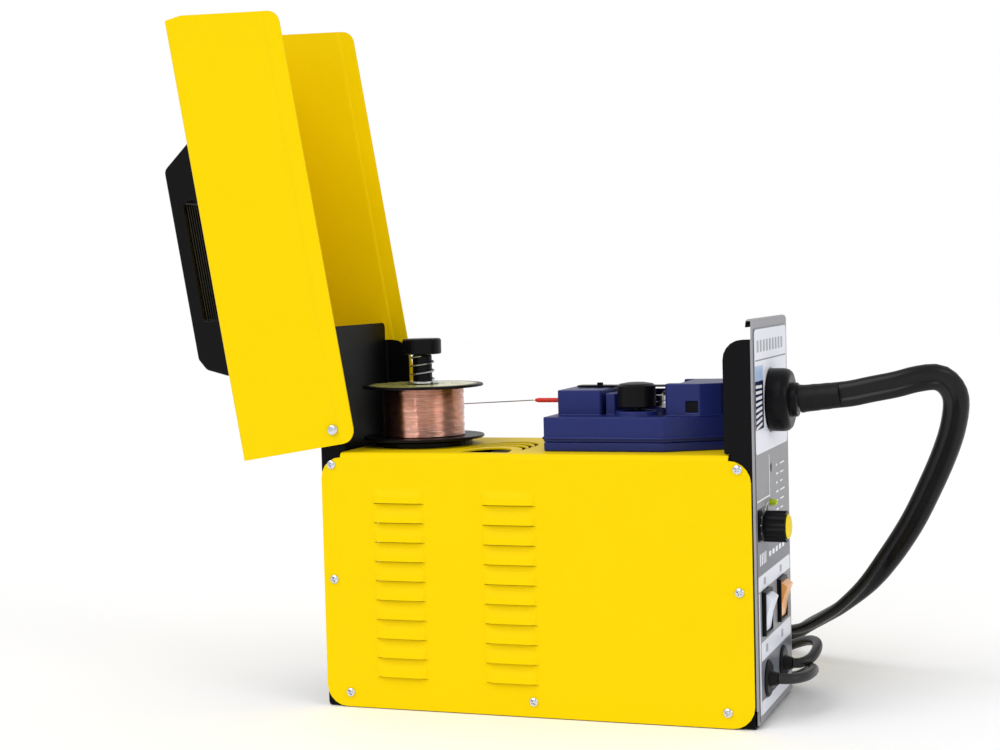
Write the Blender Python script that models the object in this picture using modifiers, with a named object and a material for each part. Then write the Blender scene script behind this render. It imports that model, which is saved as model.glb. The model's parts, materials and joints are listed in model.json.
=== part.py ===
"""Compact wire-feed welder: a sheet-steel case with an open lid, a wire spool and a wire feeder on its deck.

All named sizes are millimetres. +X points to the front panel, +Y to the far side, +Z up, and the origin is
the centre of the underside. The lid stands open at rest.
"""
import math

import bmesh
import bpy
import numpy as np
from mathutils import Matrix, Vector
from mathutils.geometry import delaunay_2d_cdt

MM = 0.001

# Case
CASE_LENGTH, CASE_WIDTH, CASE_HEIGHT = 350.0, 142.0, 206.0
SHEET = 1.2
HALF_LENGTH, HALF_WIDTH = CASE_LENGTH / 2, CASE_WIDTH / 2
CORNER = 17.0
BEND = 4.0
CHASSIS_HALF_WIDTH = HALF_WIDTH - 1.6
CHASSIS_BEND = 3.0
PAN_TOP = 12.5
FLANGE_FOOT = 14.0
FRONT_X, FRONT_TOP, FRONT_FOOT = 177.0, 307.0, 2.6
REAR_X, REAR_TOP = -176.2, 306.0
FLANGE_DEPTH, FLANGE_TOP, FLANGE_CORNER = 22.0, 292.0, 15.0
FLANGE_INNER_DEPTH = 17.0

# Louvres: ten rows in two columns on each side
LOUVRE_ROWS, LOUVRE_PITCH, LOUVRE_HIGH, LOUVRE_PROUD = 10, 15.5, 12.0, 3.0
LOUVRE_FIRST_SLIT, LOUVRE_LIP = 25.7, 0.8
LOUVRE_COLUMNS = ((-130.5, -86.3), (-38.2, 6.4))

# Fan vents in the deck: nested arches
VENT_X, VENT_HALF, VENT_RISE, VENT_WIDE = -39.0, 25.5, 38.0, 10.0
VENT_DISC, VENT_BASE = 20.0, -62.0
VENT_FEET = (-40.0, -24.5, -9.0)
FAN_AT = (-37.5, -8.0)

# Lid, drawn shut: x and z from the pivot
PIVOT = (-163.2, 0.0, 224.0)
LID_OPEN = 99.4
LID_HALF_WIDTH, LID_SHEET, LID_BEND, LID_CORNER = 72.5, 1.0, 4.0, 11.0
LID_CREASE, LID_STEP = (-6.0, -3.8), 0.7
LID_REAR, LID_FOOT, LID_TOP = -12.3, -18.1, 84.9
LID_FRONT_FOOT, LID_NOSE, LID_FRONT_TOP = 337.9, (354.3, 68.0), 353.4
HANDLE_WIDTH = 28.0

# Spool of 100 mm diameter on its holder
SPOOL_X, SPOOL_Y = -113.8, 0.5
SPOOL_R, SPOOL_BORE, BARREL_R, WINDING_R = 50.0, 8.4, 22.5, 34.2
SPOOL_FOOT, SPOOL_TOP, FLANGE = 211.7, 256.2, 2.2
SPINDLE_R, HOLDER_R, KNOB_R = 8.0, 40.0, 16.1

# Wire line through the feeder and the torch outlet
WIRE_Y, WIRE_Z, WIRE_R = -5.0, 243.0, 0.45

# Feeder
FEED_SEAM, FEED_SLAB, FEED_A_TOP, FEED_B_TOP, FEED_WALL_TOP = 213.0, 232.8, 252.5, 257.5, 250.0
FEED_OUTLINE = ((7.0, -51.0, 2.5), (104.0, -51.0, 3.0), (147.0, -26.0, 3.0), (147.0, 41.0, 2.5),
    (7.0, 41.0, 2.5))
ROLLER_X, ROLLER_R, ROLLER_GAP = 98.0, 9.0, 0.8
DRIVE_Y = WIRE_Y - ROLLER_R - ROLLER_GAP
PRESS_Y = WIRE_Y + ROLLER_R + ROLLER_GAP
WHEEL_R, WHEEL_TEETH, WORM_R = 12.6, 24, 4.4
GEAR_Z = 219.5
WORM_Y = DRIVE_Y - WHEEL_R - 0.3 - WORM_R
MOTOR_R = 10.0
ARM_PIVOT = (37.0, 8.0)
TENSION_X, TENSION_Y, TENSION_R = 77.6, -30.0, 15.0
TENSION_FOOT, TENSION_TOP = 239.3, 257.6

# Front panel fittings: y, z of each centre
OVERLAY_X = FRONT_X + 0.3
FITTING_X = FRONT_X + 0.4
TORCH_OUTLET = (WIRE_Y, WIRE_Z)
COLLAR_R, COLLAR_DEEP = 24.4, 17.5
POWER_LED, FAULT_LED = (-13.0, 164.5), (-8.0, 190.8)
LED_R = {POWER_LED: 2.5, FAULT_LED: 3.1}
SPEED_KNOB, SPEED_KNOB_R = (-37.0, 149.2), 11.9
HEAT_SWITCH, POWER_SWITCH = (-38.5, 84.3), (20.5, 84.3)
SWITCH_WIDE, SWITCH_HIGH, SWITCH_PROUD = 27.0, 33.8, 3.5
ROCKER_R, ROCKER_WIDE, ROCKER_X = 15.0, 22.0, 175.5
ROCKER_TIP, ROCKER_TILT = 29.5, 14.1
MAINS_GLAND, EARTH_GLAND = (-34.0, 32.0), (24.0, 32.0)
GLAND_R = 14.0

# Cords
LEAD_R, TORCH_CABLE_R = 4.1, 9.0
GAP = 0.3
SLEEVE = ((200.9, WIRE_Y, 243.55), (231.2, WIRE_Y, 246.6))
SLEEVE_R = (10.8, 10.1)
TORCH_COIL = (25.0, 230.0)
TORCH_COIL_IN, TORCH_COIL_OUT, TORCH_COIL_HIGH = 78.0, 111.0, 20.4
LEAD_COIL_IN, LEAD_COIL_OUT, LEAD_COIL_HIGH = 38.0, 56.0, 25.5
MAINS_COIL, EARTH_COIL = (-150.0, 145.0), (-148.0, 272.0)
TORCH_ROUTE = (
    (231.5, -5, 246.63), (236, -5, 247.08), (244, -5, 248.4), (254, -5, 250.6), (273, -4, 254.2),
    (288, -1, 258),
    (302.5, 5, 259), (311, 13, 252.4), (314.5, 23, 240), (310.3, 39, 218.5), (301.4, 55, 195),
    (288, 73, 167), (272.1, 91, 137.2), (253.1, 110, 108.5), (230.8, 129, 80), (206, 149, 57),
    (186.6, 166, 42.8), (168.5, 183, 31.2), (154.5, 198, 23), (146.5, 211, 18.2),
)
MAINS_ROUTE = (
    (186.3, -34, 32), (189, -34, 32), (194.6, -32.4, 32), (200, -27.5, 32), (204.4, -17.5, 31.9),
    (205.8, -3, 31.5),
    (204.4, 12, 30.4), (200.6, 28, 27.6), (195.8, 45, 23), (188.5, 62, 16.5), (177, 78, 9.5),
    (158, 87.5, 5.4), (128, 91, 4.5), (90, 91.5, 4.3),
    (45, 91.5, 4.3), (0, 91.5, 4.3), (-45, 91.5, 4.3), (-90, 92.5, 4.3), (-119, 93.5, 4.3),
)
EARTH_ROUTE = (
    (186.3, 24, 32), (189, 24, 32), (194, 26, 32.8), (198.6, 31.5, 34.8), (200.8, 43, 38.2),
    (199.8, 57, 40.6),
    (195, 70, 41), (186.4, 82, 38.6), (174, 93, 33), (156, 101.5, 24.5), (134, 106, 15.5), (108, 107, 8.5),
    (80, 106.5, 5),
    (50, 106, 4.3), (18, 105.5, 4.3), (-12, 105.5, 4.3), (-42, 108.5, 4.3), (-65, 120, 4.3),
    (-80, 141, 4.3),
    (-89, 168, 4.3), (-94.5, 200, 4.3), (-97, 240.3, 4.3),
)
HANDLE_AT = (-20.0, 351.6, 17.3)
PLUG_AT = (-206.0, 176.0, 16.4)
CLAMP_PIVOT = (-244.0, 330.0)
CLAMP_THICK = 24.0


def v(x, y, z):
    """A point given in millimetres, in metres."""
    return Vector((x, y, z)) * MM


# ---------------------------------------------------------------- scene, collections, materials

def clear_scene():
    for obj in list(bpy.data.objects):
        bpy.data.objects.remove(obj, do_unlink=True)
    for data in (bpy.data.meshes, bpy.data.curves, bpy.data.materials):
        for block_ in list(data):
            data.remove(block_)


def new_collection(name):
    found = bpy.data.collections.get(name) or bpy.data.collections.new(name)
    if found.name not in bpy.context.scene.collection.children:
        bpy.context.scene.collection.children.link(found)
    return found


def material(name, colour, roughness, metallic=0.0):
    made = bpy.data.materials.new(name)
    made.use_nodes = True
    shader = made.node_tree.nodes["Principled BSDF"]
    shader.inputs["Base Color"].default_value = (*colour, 1.0)
    shader.inputs["Roughness"].default_value = roughness
    shader.inputs["Metallic"].default_value = metallic
    return made


def make_materials():
    return {
        "yellow_paint": material("yellow_paint", (0.93, 0.66, 0.0), 0.35),
        "black_paint": material("black_paint", (0.012, 0.012, 0.013), 0.45),
        "panel_print": material("panel_print", (0.55, 0.56, 0.58), 0.4),
        "black_plastic": material("black_plastic", (0.015, 0.015, 0.016), 0.5),
        "grey_plastic": material("grey_plastic", (0.05, 0.05, 0.055), 0.5),
        "blue_plastic": material("blue_plastic", (0.035, 0.055, 0.26), 0.5),
        "yellow_plastic": material("yellow_plastic", (0.95, 0.65, 0.02), 0.35),
        "white_plastic": material("white_plastic", (0.8, 0.8, 0.8), 0.3),
        "orange_plastic": material("orange_plastic", (1.0, 0.32, 0.04), 0.25),
        "red_plastic": material("red_plastic", (0.75, 0.05, 0.03), 0.4),
        "green_lens": material("green_lens", (0.55, 0.75, 0.05), 0.2),
        "dark_lens": material("dark_lens", (0.02, 0.02, 0.02), 0.15),
        "zinc": material("zinc", (0.7, 0.7, 0.72), 0.3, 1.0),
        "steel": material("steel", (0.55, 0.55, 0.56), 0.3, 1.0),
        "laminated_steel": material("laminated_steel", (0.25, 0.25, 0.27), 0.5, 1.0),
        "copper": material("copper", (0.85, 0.45, 0.3), 0.3, 1.0),
        "brass": material("brass", (0.8, 0.6, 0.25), 0.3, 1.0),
        "aluminium": material("aluminium", (0.75, 0.75, 0.76), 0.35, 1.0),
        "board": material("board", (0.02, 0.2, 0.08), 0.5),
        "rubber": material("rubber", (0.02, 0.02, 0.02), 0.55),
    }


# ---------------------------------------------------------------- shape helpers

def add(name, data, mat):
    obj = bpy.data.objects.new(name, data)
    PARTS.objects.link(obj)
    obj.data.materials.append(MATERIALS[mat])
    return obj


def mesh_from(bm, name, mat, smooth_angle=None):
    mesh = bpy.data.meshes.new(name)
    bm.to_mesh(mesh)
    bm.free()
    if smooth_angle:
        mesh.shade_smooth()
        mesh.set_sharp_from_angle(angle=math.radians(smooth_angle))
    return add(name, mesh, mat)


def set_origin(obj, point):
    """Moves the object's origin to a point in mm and leaves its shape where it is."""
    shift = v(*point)
    obj.data.transform(Matrix.Translation(-shift) @ obj.matrix_basis)
    obj.matrix_basis = Matrix.Translation(shift)
    return obj


def block(name, low, high, mat, bevel=0.0):
    """A box between two corners, with its edges rounded if a bevel is given."""
    bm = bmesh.new()
    bmesh.ops.create_cube(bm, size=1.0)
    size = v(*high) - v(*low)
    bmesh.ops.scale(bm, vec=size, verts=bm.verts)
    obj = mesh_from(bm, name, mat)
    obj.location = (v(*high) + v(*low)) / 2
    if bevel:
        rounding = obj.modifiers.new("Bevel", "BEVEL")
        rounding.width, rounding.segments, rounding.limit_method = bevel * MM, 2, "ANGLE"
    return obj


def rod(name, radius, start, end, mat, segments=24, end_radius=None):
    """A cylinder or cone between two points."""
    start, end = v(*start), v(*end)
    along = end - start
    bm = bmesh.new()
    far = radius if end_radius is None else end_radius
    bmesh.ops.create_cone(
        bm, cap_ends=True, segments=segments, radius1=radius * MM, radius2=far * MM, depth=along.length
    )
    obj = mesh_from(bm, name, mat, 35)
    obj.rotation_euler = along.to_track_quat("Z", "Y").to_euler()
    obj.location = (start + end) / 2
    return obj


TURN_TO = {"Z": (0.0, 0.0, 0.0), "X": (0.0, math.pi / 2, 0.0), "Y": (-math.pi / 2, 0.0, 0.0)}


def turned(name, profile, place, mat, axis="Z", steps=32, closed=False):
    """A turned solid: (radius, height) points run from the top down its outer side."""
    bm = bmesh.new()
    points = [bm.verts.new((r * MM, 0.0, h * MM)) for r, h in profile]
    ends = points[1:] + points[:1] if closed else points[1:]
    for a, b in zip(points, ends):
        bm.edges.new((a, b))
    obj = mesh_from(bm, name, mat)
    screw = obj.modifiers.new("Screw", "SCREW")
    screw.steps = screw.render_steps = steps
    screw.use_merge_vertices, screw.merge_threshold = True, 1e-6
    screw.use_smooth_shade = True
    obj.rotation_euler = TURN_TO[axis]
    obj.location = v(*place)
    return obj


def fillet(corners, segments=5):
    """An outline from (x, y, radius) corners, with each corner rounded by its radius."""
    points = []
    count = len(corners)
    for i, (x, y, radius) in enumerate(corners):
        here = Vector((x, y))
        if radius <= 0:
            points.append((x, y))
            continue
        before = (Vector(corners[i - 1][:2]) - here).normalized()
        after = (Vector(corners[(i + 1) % count][:2]) - here).normalized()
        half = before.angle(after) / 2
        centre = here + (before + after).normalized() * (radius / math.sin(half))
        start = here + before * (radius / math.tan(half)) - centre
        end = here + after * (radius / math.tan(half)) - centre
        turn = start.angle_signed(end)
        for k in range(segments + 1):
            spoke = start.copy()
            spoke.rotate(Matrix.Rotation(-turn * k / segments, 2))
            points.append(tuple(centre + spoke))
    return points


def circle(x, y, radius, count=20):
    return [
        (x + radius * math.cos(2 * math.pi * k / count), y + radius * math.sin(2 * math.pi * k / count))
        for k in range(count)
    ]


def rectangle(x0, y0, x1, y1):
    return [(x0, y0), (x1, y0), (x1, y1), (x0, y1)]


# An outline's own x, y and normal, in the object's axes
PLANES = {
    "XY": Matrix.Identity(3),
    "XZ": Matrix(((1, 0, 0), (0, 0, -1), (0, 1, 0))),
    "YZ": Matrix(((0, 0, 1), (1, 0, 0), (0, 1, 0))),
}


def as_mesh(obj):
    """Turns a curve object into a mesh with its caps joined."""
    graph = bpy.context.evaluated_depsgraph_get()
    mesh = bpy.data.meshes.new_from_object(obj.evaluated_get(graph))
    bm = bmesh.new()
    bm.from_mesh(mesh)
    bmesh.ops.remove_doubles(bm, verts=bm.verts, dist=1e-7)
    bmesh.ops.recalc_face_normals(bm, faces=bm.faces)
    bm.to_mesh(mesh)
    bm.free()
    name, matrix, mats = obj.name, obj.matrix_world.copy(), list(obj.data.materials)
    bpy.data.objects.remove(obj, do_unlink=True)
    made = bpy.data.objects.new(name, mesh)
    PARTS.objects.link(made)
    made.matrix_world = matrix
    if not mesh.materials:
        mesh.materials.append(mats[0])
    return made


def plate(name, outlines, low, high, mat, plane="XY"):
    """A flat outline with its holes, filled and given thickness between two levels of its plane's normal."""
    curve = bpy.data.curves.new(name, "CURVE")
    curve.dimensions, curve.fill_mode = "2D", "BOTH"
    curve.extrude = (high - low) / 2 * MM
    for outline in outlines:
        spline = curve.splines.new("POLY")
        spline.points.add(len(outline) - 1)
        for point, (x, y) in zip(spline.points, outline):
            point.co = (x * MM, y * MM, 0.0, 1.0)
        spline.use_cyclic_u = True
    obj = add(name, curve, mat)
    turn = PLANES[plane]
    obj.matrix_world = Matrix.Translation(turn @ Vector((0, 0, (low + high) / 2 * MM))) @ turn.to_4x4()
    bpy.context.view_layer.update()
    return as_mesh(obj)


def tube(name, points, radius, mat, resolution=2):
    """A round tube along points in mm, with closed ends."""
    curve = bpy.data.curves.new(name, "CURVE")
    curve.dimensions = "3D"
    curve.bevel_depth, curve.bevel_resolution, curve.use_fill_caps = radius * MM, resolution, True
    spline = curve.splines.new("POLY")
    spline.points.add(len(points) - 1)
    for point, where in zip(spline.points, points):
        point.co = (*(Vector(where) * MM), 1.0)
    obj = add(name, curve, mat)
    bpy.context.view_layer.update()
    return as_mesh(obj)


def smooth_path(points, spacing):
    """Evenly spaced points along a smooth curve through the given ones."""
    given = np.array(points, float)
    ends = np.vstack([2 * given[0] - given[1], given, 2 * given[-1] - given[-2]])
    fine = []
    for p0, p1, p2, p3 in zip(ends, ends[1:], ends[2:], ends[3:]):
        for t in np.linspace(0, 1, 12, endpoint=False):
            fine.append(
                0.5 * (2 * p1 + (p2 - p0) * t + (2 * p0 - 5 * p1 + 4 * p2 - p3) * t * t
                       + (3 * p1 - p0 - 3 * p2 + p3) * t ** 3)
            )
    fine.append(given[-1])
    fine = np.array(fine)
    run = np.concatenate([[0], np.cumsum(np.linalg.norm(np.diff(fine, axis=0), axis=1))])
    count = max(2, round(run[-1] / spacing) + 1)
    at = np.linspace(0, run[-1], count)
    return [tuple(np.interp(s, run, fine[:, k]) for k in range(3)) for s in at]


def boolean(obj, other, operation):
    """Joins or cuts with another object, which becomes a hidden helper."""
    PARTS.objects.unlink(other)
    CUTTERS.objects.link(other)
    other.hide_render = True
    other.display_type = "WIRE"
    step = obj.modifiers.new(operation.title(), "BOOLEAN")
    step.operation, step.object, step.solver = operation, other, "EXACT"
    return obj


def join(obj, *others):
    for other in others:
        boolean(obj, other, "UNION")
    return obj


def cut(obj, *others):
    for other in others:
        boolean(obj, other, "DIFFERENCE")
    return obj


def inside(x, y, outline):
    """Whether a point lies within an outline."""
    crossings = 0
    for (x0, y0), (x1, y1) in zip(outline, outline[1:] + outline[:1]):
        if (y0 > y) != (y1 > y) and x < x0 + (x1 - x0) * (y - y0) / (y1 - y0):
            crossings += 1
    return crossings % 2 == 1


def filled(outlines):
    """Triangles that fill the first outline and leave the others open."""
    points, edges = [], []
    for outline in outlines:
        first, count = len(points), len(outline)
        points += [Vector(p) for p in outline]
        edges += [(first + k, first + (k + 1) % count) for k in range(count)]
    verts, _, faces, *_ = delaunay_2d_cdt(points, edges, [], 1, 1e-6)
    triangles = []
    for face in faces:
        corners = [tuple(verts[i]) for i in face]
        x, y = (sum(c[k] for c in corners) / 3 for k in (0, 1))
        if inside(x, y, outlines[0]) and not any(inside(x, y, hole) for hole in outlines[1:]):
            triangles.append(corners)
    return triangles


def sheet(name, patches, strips, thickness, mat, outside):
    """Folded sheet metal.

    A patch is (outlines, place), where place turns an outline's (a, b) into a point. A strip is a list of
    lines of points, joined side by side. The outer face is the drawn one, and outside is a direction that the
    face furthest that way looks along.
    """
    bm = bmesh.new()
    for outlines, place in patches:
        for face in filled(outlines):
            bm.faces.new([bm.verts.new(v(*place(a, b))) for a, b in face])
    for lines in strips:
        rows = [[bm.verts.new(v(*p)) for p in line] for line in lines]
        for row, following in zip(rows, rows[1:]):
            for i in range(len(row) - 1):
                bm.faces.new((row[i], row[i + 1], following[i + 1], following[i]))
    bmesh.ops.remove_doubles(bm, verts=bm.verts, dist=1e-6)
    bmesh.ops.recalc_face_normals(bm, faces=bm.faces)
    direction = Vector(outside)
    furthest = max(bm.faces, key=lambda face: face.calc_center_median().dot(direction))
    if furthest.normal.dot(direction) < 0:
        bmesh.ops.reverse_faces(bm, faces=bm.faces)
    obj = mesh_from(bm, name, mat)
    solid = obj.modifiers.new("Solidify", "SOLIDIFY")
    solid.thickness, solid.offset, solid.use_even_offset = thickness * MM, -1.0, True
    return obj


def bend_lines(start, end, a, b, segments=3):
    """Lines of a bend: quarter turn from point pair start to point pair end about the corner they share."""
    lines = []
    for k in range(segments + 1):
        angle = math.pi / 2 * k / segments
        lines.append([
            tuple(
                s[i] + (e[i] - s[i]) * ((1 - math.cos(angle)) if i == b else math.sin(angle) if i == a else 0)
                for i in range(3)
            )
            for s, e in zip(start, end)
        ])
    return lines


# ---------------------------------------------------------------- case

def side_outline():
    """Side of the cover in x and z. Its top edge is where the bend to the deck starts."""
    top = CASE_HEIGHT - BEND
    return fillet([
        (-HALF_LENGTH, 0.6, CORNER), (HALF_LENGTH, 0.6, CORNER), (HALF_LENGTH, top, CORNER),
        (-HALF_LENGTH, top, CORNER),
    ])


LOUVRE_STATIONS = ((0.0, 0.0), (0.06, 0.62), (0.14, 1.0), (0.86, 1.0), (0.94, 0.62), (1.0, 0.0))
LOUVRE_LEVELS = ((1.0, 0.0), (0.5, 0.72), (0.0, 1.0))


def louvre(x0, x1, slit, side):
    """One pressed louvre: its outline in the sheet, and the hood's rows of points."""
    wide = x1 - x0
    outline = [(x0, slit), (x1, slit), (x1, slit + LOUVRE_HIGH / 2)]
    outline += [(x0 + wide * along, slit + LOUVRE_HIGH) for along, _ in reversed(LOUVRE_STATIONS)]
    outline += [(x0, slit + LOUVRE_HIGH / 2)]
    rows = []
    for level, out in LOUVRE_LEVELS:
        row = []
        for along, proud in LOUVRE_STATIONS:
            z = slit + LOUVRE_HIGH * level
            if level == 0.0 and proud > 0.0:
                z += LOUVRE_LIP
            row.append((x0 + wide * along, side * (HALF_WIDTH + LOUVRE_PROUD * out * proud), z))
        rows.append(row)
    return outline, rows


def vent_outlines():
    """Arched slots of the fan grille, nested from a half disc outwards."""
    angles = [math.pi * k / 12 for k in range(13)]
    first = [
        (VENT_X + VENT_DISC * math.cos(a), VENT_BASE + VENT_RISE * math.sin(a)) for a in angles
    ]
    outlines = [first]
    for foot in VENT_FEET:
        outer = [(VENT_X + VENT_HALF * math.cos(a), foot + VENT_RISE * math.sin(a)) for a in angles]
        inner = [(x, y - VENT_WIDE) for x, y in reversed(outer)]
        outlines.append(outer + inner)
    return outlines


def cover():
    patches, strips = [], []
    for side in (-1, 1):
        holes = []
        for x0, x1 in LOUVRE_COLUMNS:
            for row in range(LOUVRE_ROWS):
                outline, hood = louvre(x0, x1, LOUVRE_FIRST_SLIT + LOUVRE_PITCH * row, side)
                holes.append(outline)
                strips.append(hood)
        patches.append(([side_outline()] + holes, lambda a, b, s=side: (a, s * HALF_WIDTH, b)))
        ends = (-(HALF_LENGTH - CORNER), HALF_LENGTH - CORNER)
        low = [(x, side * HALF_WIDTH, CASE_HEIGHT - BEND) for x in ends]
        high = [(x, side * (HALF_WIDTH - BEND), CASE_HEIGHT) for x in ends]
        strips.append(bend_lines(low, high, 2, 1))
    reach, deck = HALF_LENGTH - CORNER, HALF_WIDTH - BEND
    deck_outline = rectangle(-reach, -deck, reach, deck)
    patches.append(([deck_outline] + vent_outlines(), lambda a, b: (a, b, CASE_HEIGHT)))
    return sheet("cover", patches, strips, SHEET, "yellow_paint", (0, 0, 1))


def base_pan():
    wide = CHASSIS_HALF_WIDTH
    inner = wide - CHASSIS_BEND
    rear, front = REAR_X + 1.7, FRONT_X - 2.0
    patches = [([rectangle(rear, -inner, front, inner)], lambda a, b: (a, b, 0.0))]
    strips = []
    for side in (-1, 1):
        flat = [(x, side * inner, 0.0) for x in (rear, front)]
        bent = [(x, side * wide, CHASSIS_BEND) for x in (rear, front)]
        lines = bend_lines(flat, bent, 1, 2)
        lines.append([(x, side * wide, PAN_TOP) for x in (rear, front)])
        strips.append(lines)
    return sheet("base_pan", patches, strips, SHEET, "black_paint", (0, 0, -1))


def flange_outline(face_x, inward, top):
    """A panel's side flange in x and z: narrow beside the cover, wider above the deck."""
    start, end = face_x + inward * CHASSIS_BEND, face_x + inward * FLANGE_DEPTH
    step, above = face_x + inward * FLANGE_INNER_DEPTH, CASE_HEIGHT + 0.6
    return fillet([
        (start, FLANGE_FOOT, 0), (step, FLANGE_FOOT, 3), (step, above, 0), (end, above, 2),
        (end, top, FLANGE_CORNER), (start, top, 0),
    ])


def panel_sheet(name, face_x, inward, outline, holes, lip, top, flange_holes=()):
    """An end panel: its face with holes, a bend and a flange on each side, and its top lip."""
    wide = CHASSIS_HALF_WIDTH
    patches = [([outline] + holes, lambda a, b: (face_x, a, b))]
    strips = [lip] if lip else []
    for side in (-1, 1):
        flange = flange_outline(face_x, inward, top)
        patches.append(([flange, *flange_holes], lambda a, b, s=side: (a, s * wide, b)))
        ends = (FLANGE_FOOT, top)
        face = [(face_x, side * (wide - CHASSIS_BEND), z) for z in ends]
        bent = [(face_x + inward * CHASSIS_BEND, side * wide, z) for z in ends]
        strips.append(bend_lines(face, bent, 1, 0))
    return sheet(name, patches, strips, SHEET, "black_paint", (-inward, 0, 0))


def face_outline(foot, top, flange_top, corner):
    """Face of an end panel in y and z, with points where its side bends start and stop."""
    y = CHASSIS_HALF_WIDTH - CHASSIS_BEND
    right = [(y, foot, 0), (y, FLANGE_FOOT, 0), (y, flange_top, 0), (y, top, corner)]
    left = [(-a, b, r) for a, b, r in reversed(right)]
    return fillet(right + left, segments=3)


def front_panel():
    lip_y = CHASSIS_HALF_WIDTH - CHASSIS_BEND
    face_top = FRONT_TOP - 3.0
    profile = [(0.0, face_top), (-0.9, FRONT_TOP - 0.9), (-2.8, FRONT_TOP), (-4.6, FRONT_TOP - 0.9),
        (-5.2, FRONT_TOP - 6)]
    lip = [[(FRONT_X + dx, y, z) for y in (-lip_y, lip_y)] for dx, z in profile]
    holes = [circle(*TORCH_OUTLET, 12.0), circle(*SPEED_KNOB, 4.2, 14)]
    holes += [circle(*place, radius + 0.4, 12) for place, radius in LED_R.items()]
    holes += [circle(*place, 8.2, 16) for place in (MAINS_GLAND, EARTH_GLAND)]
    for y, z in (HEAT_SWITCH, POWER_SWITCH):
        holes.append(rectangle(y - 12.6, z - 15.9, y + 12.6, z + 15.9))
    outline = face_outline(FRONT_FOOT, face_top, FLANGE_TOP, 0)
    return panel_sheet("front_panel", FRONT_X, -1, outline, holes, lip, FLANGE_TOP)


def rear_panel():
    top = FLANGE_TOP - 1.0
    outline = face_outline(FRONT_FOOT, REAR_TOP, top, 5.0)
    slots = [rectangle(y - 2.5, 60.0, y + 2.5, 140.0) for y in range(-40, 41, 16)]
    hinge_hole = circle(PIVOT[0], PIVOT[2], 2.2, 12)
    return panel_sheet("rear_panel", REAR_X, 1, outline, slots, None, top, [hinge_hole])


def front_overlay():
    outline = fillet([(-63.5, 4.0, 4), (61.5, 4.0, 4), (61.5, 299.5, 5), (-63.5, 299.5, 5)])
    holes = [circle(*TORCH_OUTLET, COLLAR_R + 0.6, 32), circle(*SPEED_KNOB, 5.0, 16)]
    holes += [circle(*place, radius + 0.7, 12) for place, radius in LED_R.items()]
    holes += [circle(*place, GLAND_R + 0.5, 24) for place in (MAINS_GLAND, EARTH_GLAND)]
    wide, high = SWITCH_WIDE / 2 + 0.5, SWITCH_HIGH / 2 + 0.5
    for y, z in (HEAT_SWITCH, POWER_SWITCH):
        holes.append(rectangle(y - wide, z - high, y + wide, z + high))
    return plate("front_overlay", [outline] + holes, OVERLAY_X, OVERLAY_X + 0.4, "panel_print", "YZ")


# ---------------------------------------------------------------- front panel fittings

def torch_collar():
    """Round outlet nut with a neck through the panel and a bore for the wire's outlet tube."""
    depth = COLLAR_DEEP
    profile = [
        (5.4, depth + 4.6), (12.6, depth + 4.6), (13.2, depth + 3.6), (13.2, depth), (COLLAR_R - 5.4, depth),
        (COLLAR_R - 2.6, depth - 0.9), (COLLAR_R - 0.8, depth - 3.0), (COLLAR_R, depth - 6.0),
        (COLLAR_R, 1.5),
        (COLLAR_R - 1.5, 0.0), (11.0, 0.0), (11.0, -8.0), (5.4, -8.0),
    ]
    place = (FITTING_X, *TORCH_OUTLET)
    return turned("torch_collar", profile, place, "black_plastic", "X", 36, closed=True)


def led(name, place, proud, mat):
    wide = LED_R[place]
    profile = [(0.0, proud), (wide * 0.5, proud - 0.3), (wide * 0.88, proud - 1.1), (wide, proud - 2.5),
        (wide, -6.0), (0.0, -6.0)]
    return turned(name, profile, (FITTING_X, *place), mat, "X", 16)


def speed_potentiometer():
    body = turned(
        "speed_potentiometer",
        [(0.0, 1.0), (3.5, 1.0), (3.5, -5.0), (11.5, -5.0), (12.0, -5.8), (12.0, -16.0), (0.0, -16.0)],
        (FITTING_X, *SPEED_KNOB), "grey_plastic", "X", 24,
    )
    return body


def speed_knob():
    """Fluted knob on the potentiometer's axis."""
    lobes = 20
    outline = []
    for k in range(lobes * 2):
        radius = SPEED_KNOB_R if k % 2 else SPEED_KNOB_R - 0.7
        angle = math.pi * k / lobes
        outline.append((SPEED_KNOB[0] + radius * math.cos(angle), SPEED_KNOB[1] + radius * math.sin(angle)))
    knob = plate("speed_knob", [outline], FRONT_X + 1.9, FRONT_X + 18.2, "black_plastic", "YZ")
    return set_origin(knob, (FRONT_X, *SPEED_KNOB))


def speed_knob_cap():
    place = (FRONT_X + 18.5, *SPEED_KNOB)
    profile = [(0.0, 2.9), (5.0, 2.6), (8.0, 1.8), (9.6, 0.4), (9.6, 0.0), (0.0, 0.0)]
    return turned("speed_knob_cap", profile, place, "yellow_plastic", "X", 24)


def switch_housing(name, place):
    """Bezel and housing of a rocker switch, with a round trough that the rocker turns in."""
    y, z = place
    front = FITTING_X + SWITCH_PROUD
    half = SWITCH_WIDE / 2
    bezel = block(name, (FITTING_X, y - half, z - SWITCH_HIGH / 2), (front, y + half, z + SWITCH_HIGH / 2),
                  "black_plastic")
    body = block(name + "_body", (FRONT_X - 26, y - 12.2, z - 15.6), (FITTING_X + 1, y + 12.2, z + 15.6),
                 "black_plastic")
    trough = rod(name + "_trough", ROCKER_R + 0.4, (ROCKER_X, y - ROCKER_WIDE / 2 - 0.4, z),
                 (ROCKER_X, y + ROCKER_WIDE / 2 + 0.4, z), "black_plastic", 40)
    return cut(join(bezel, body), trough)


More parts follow.
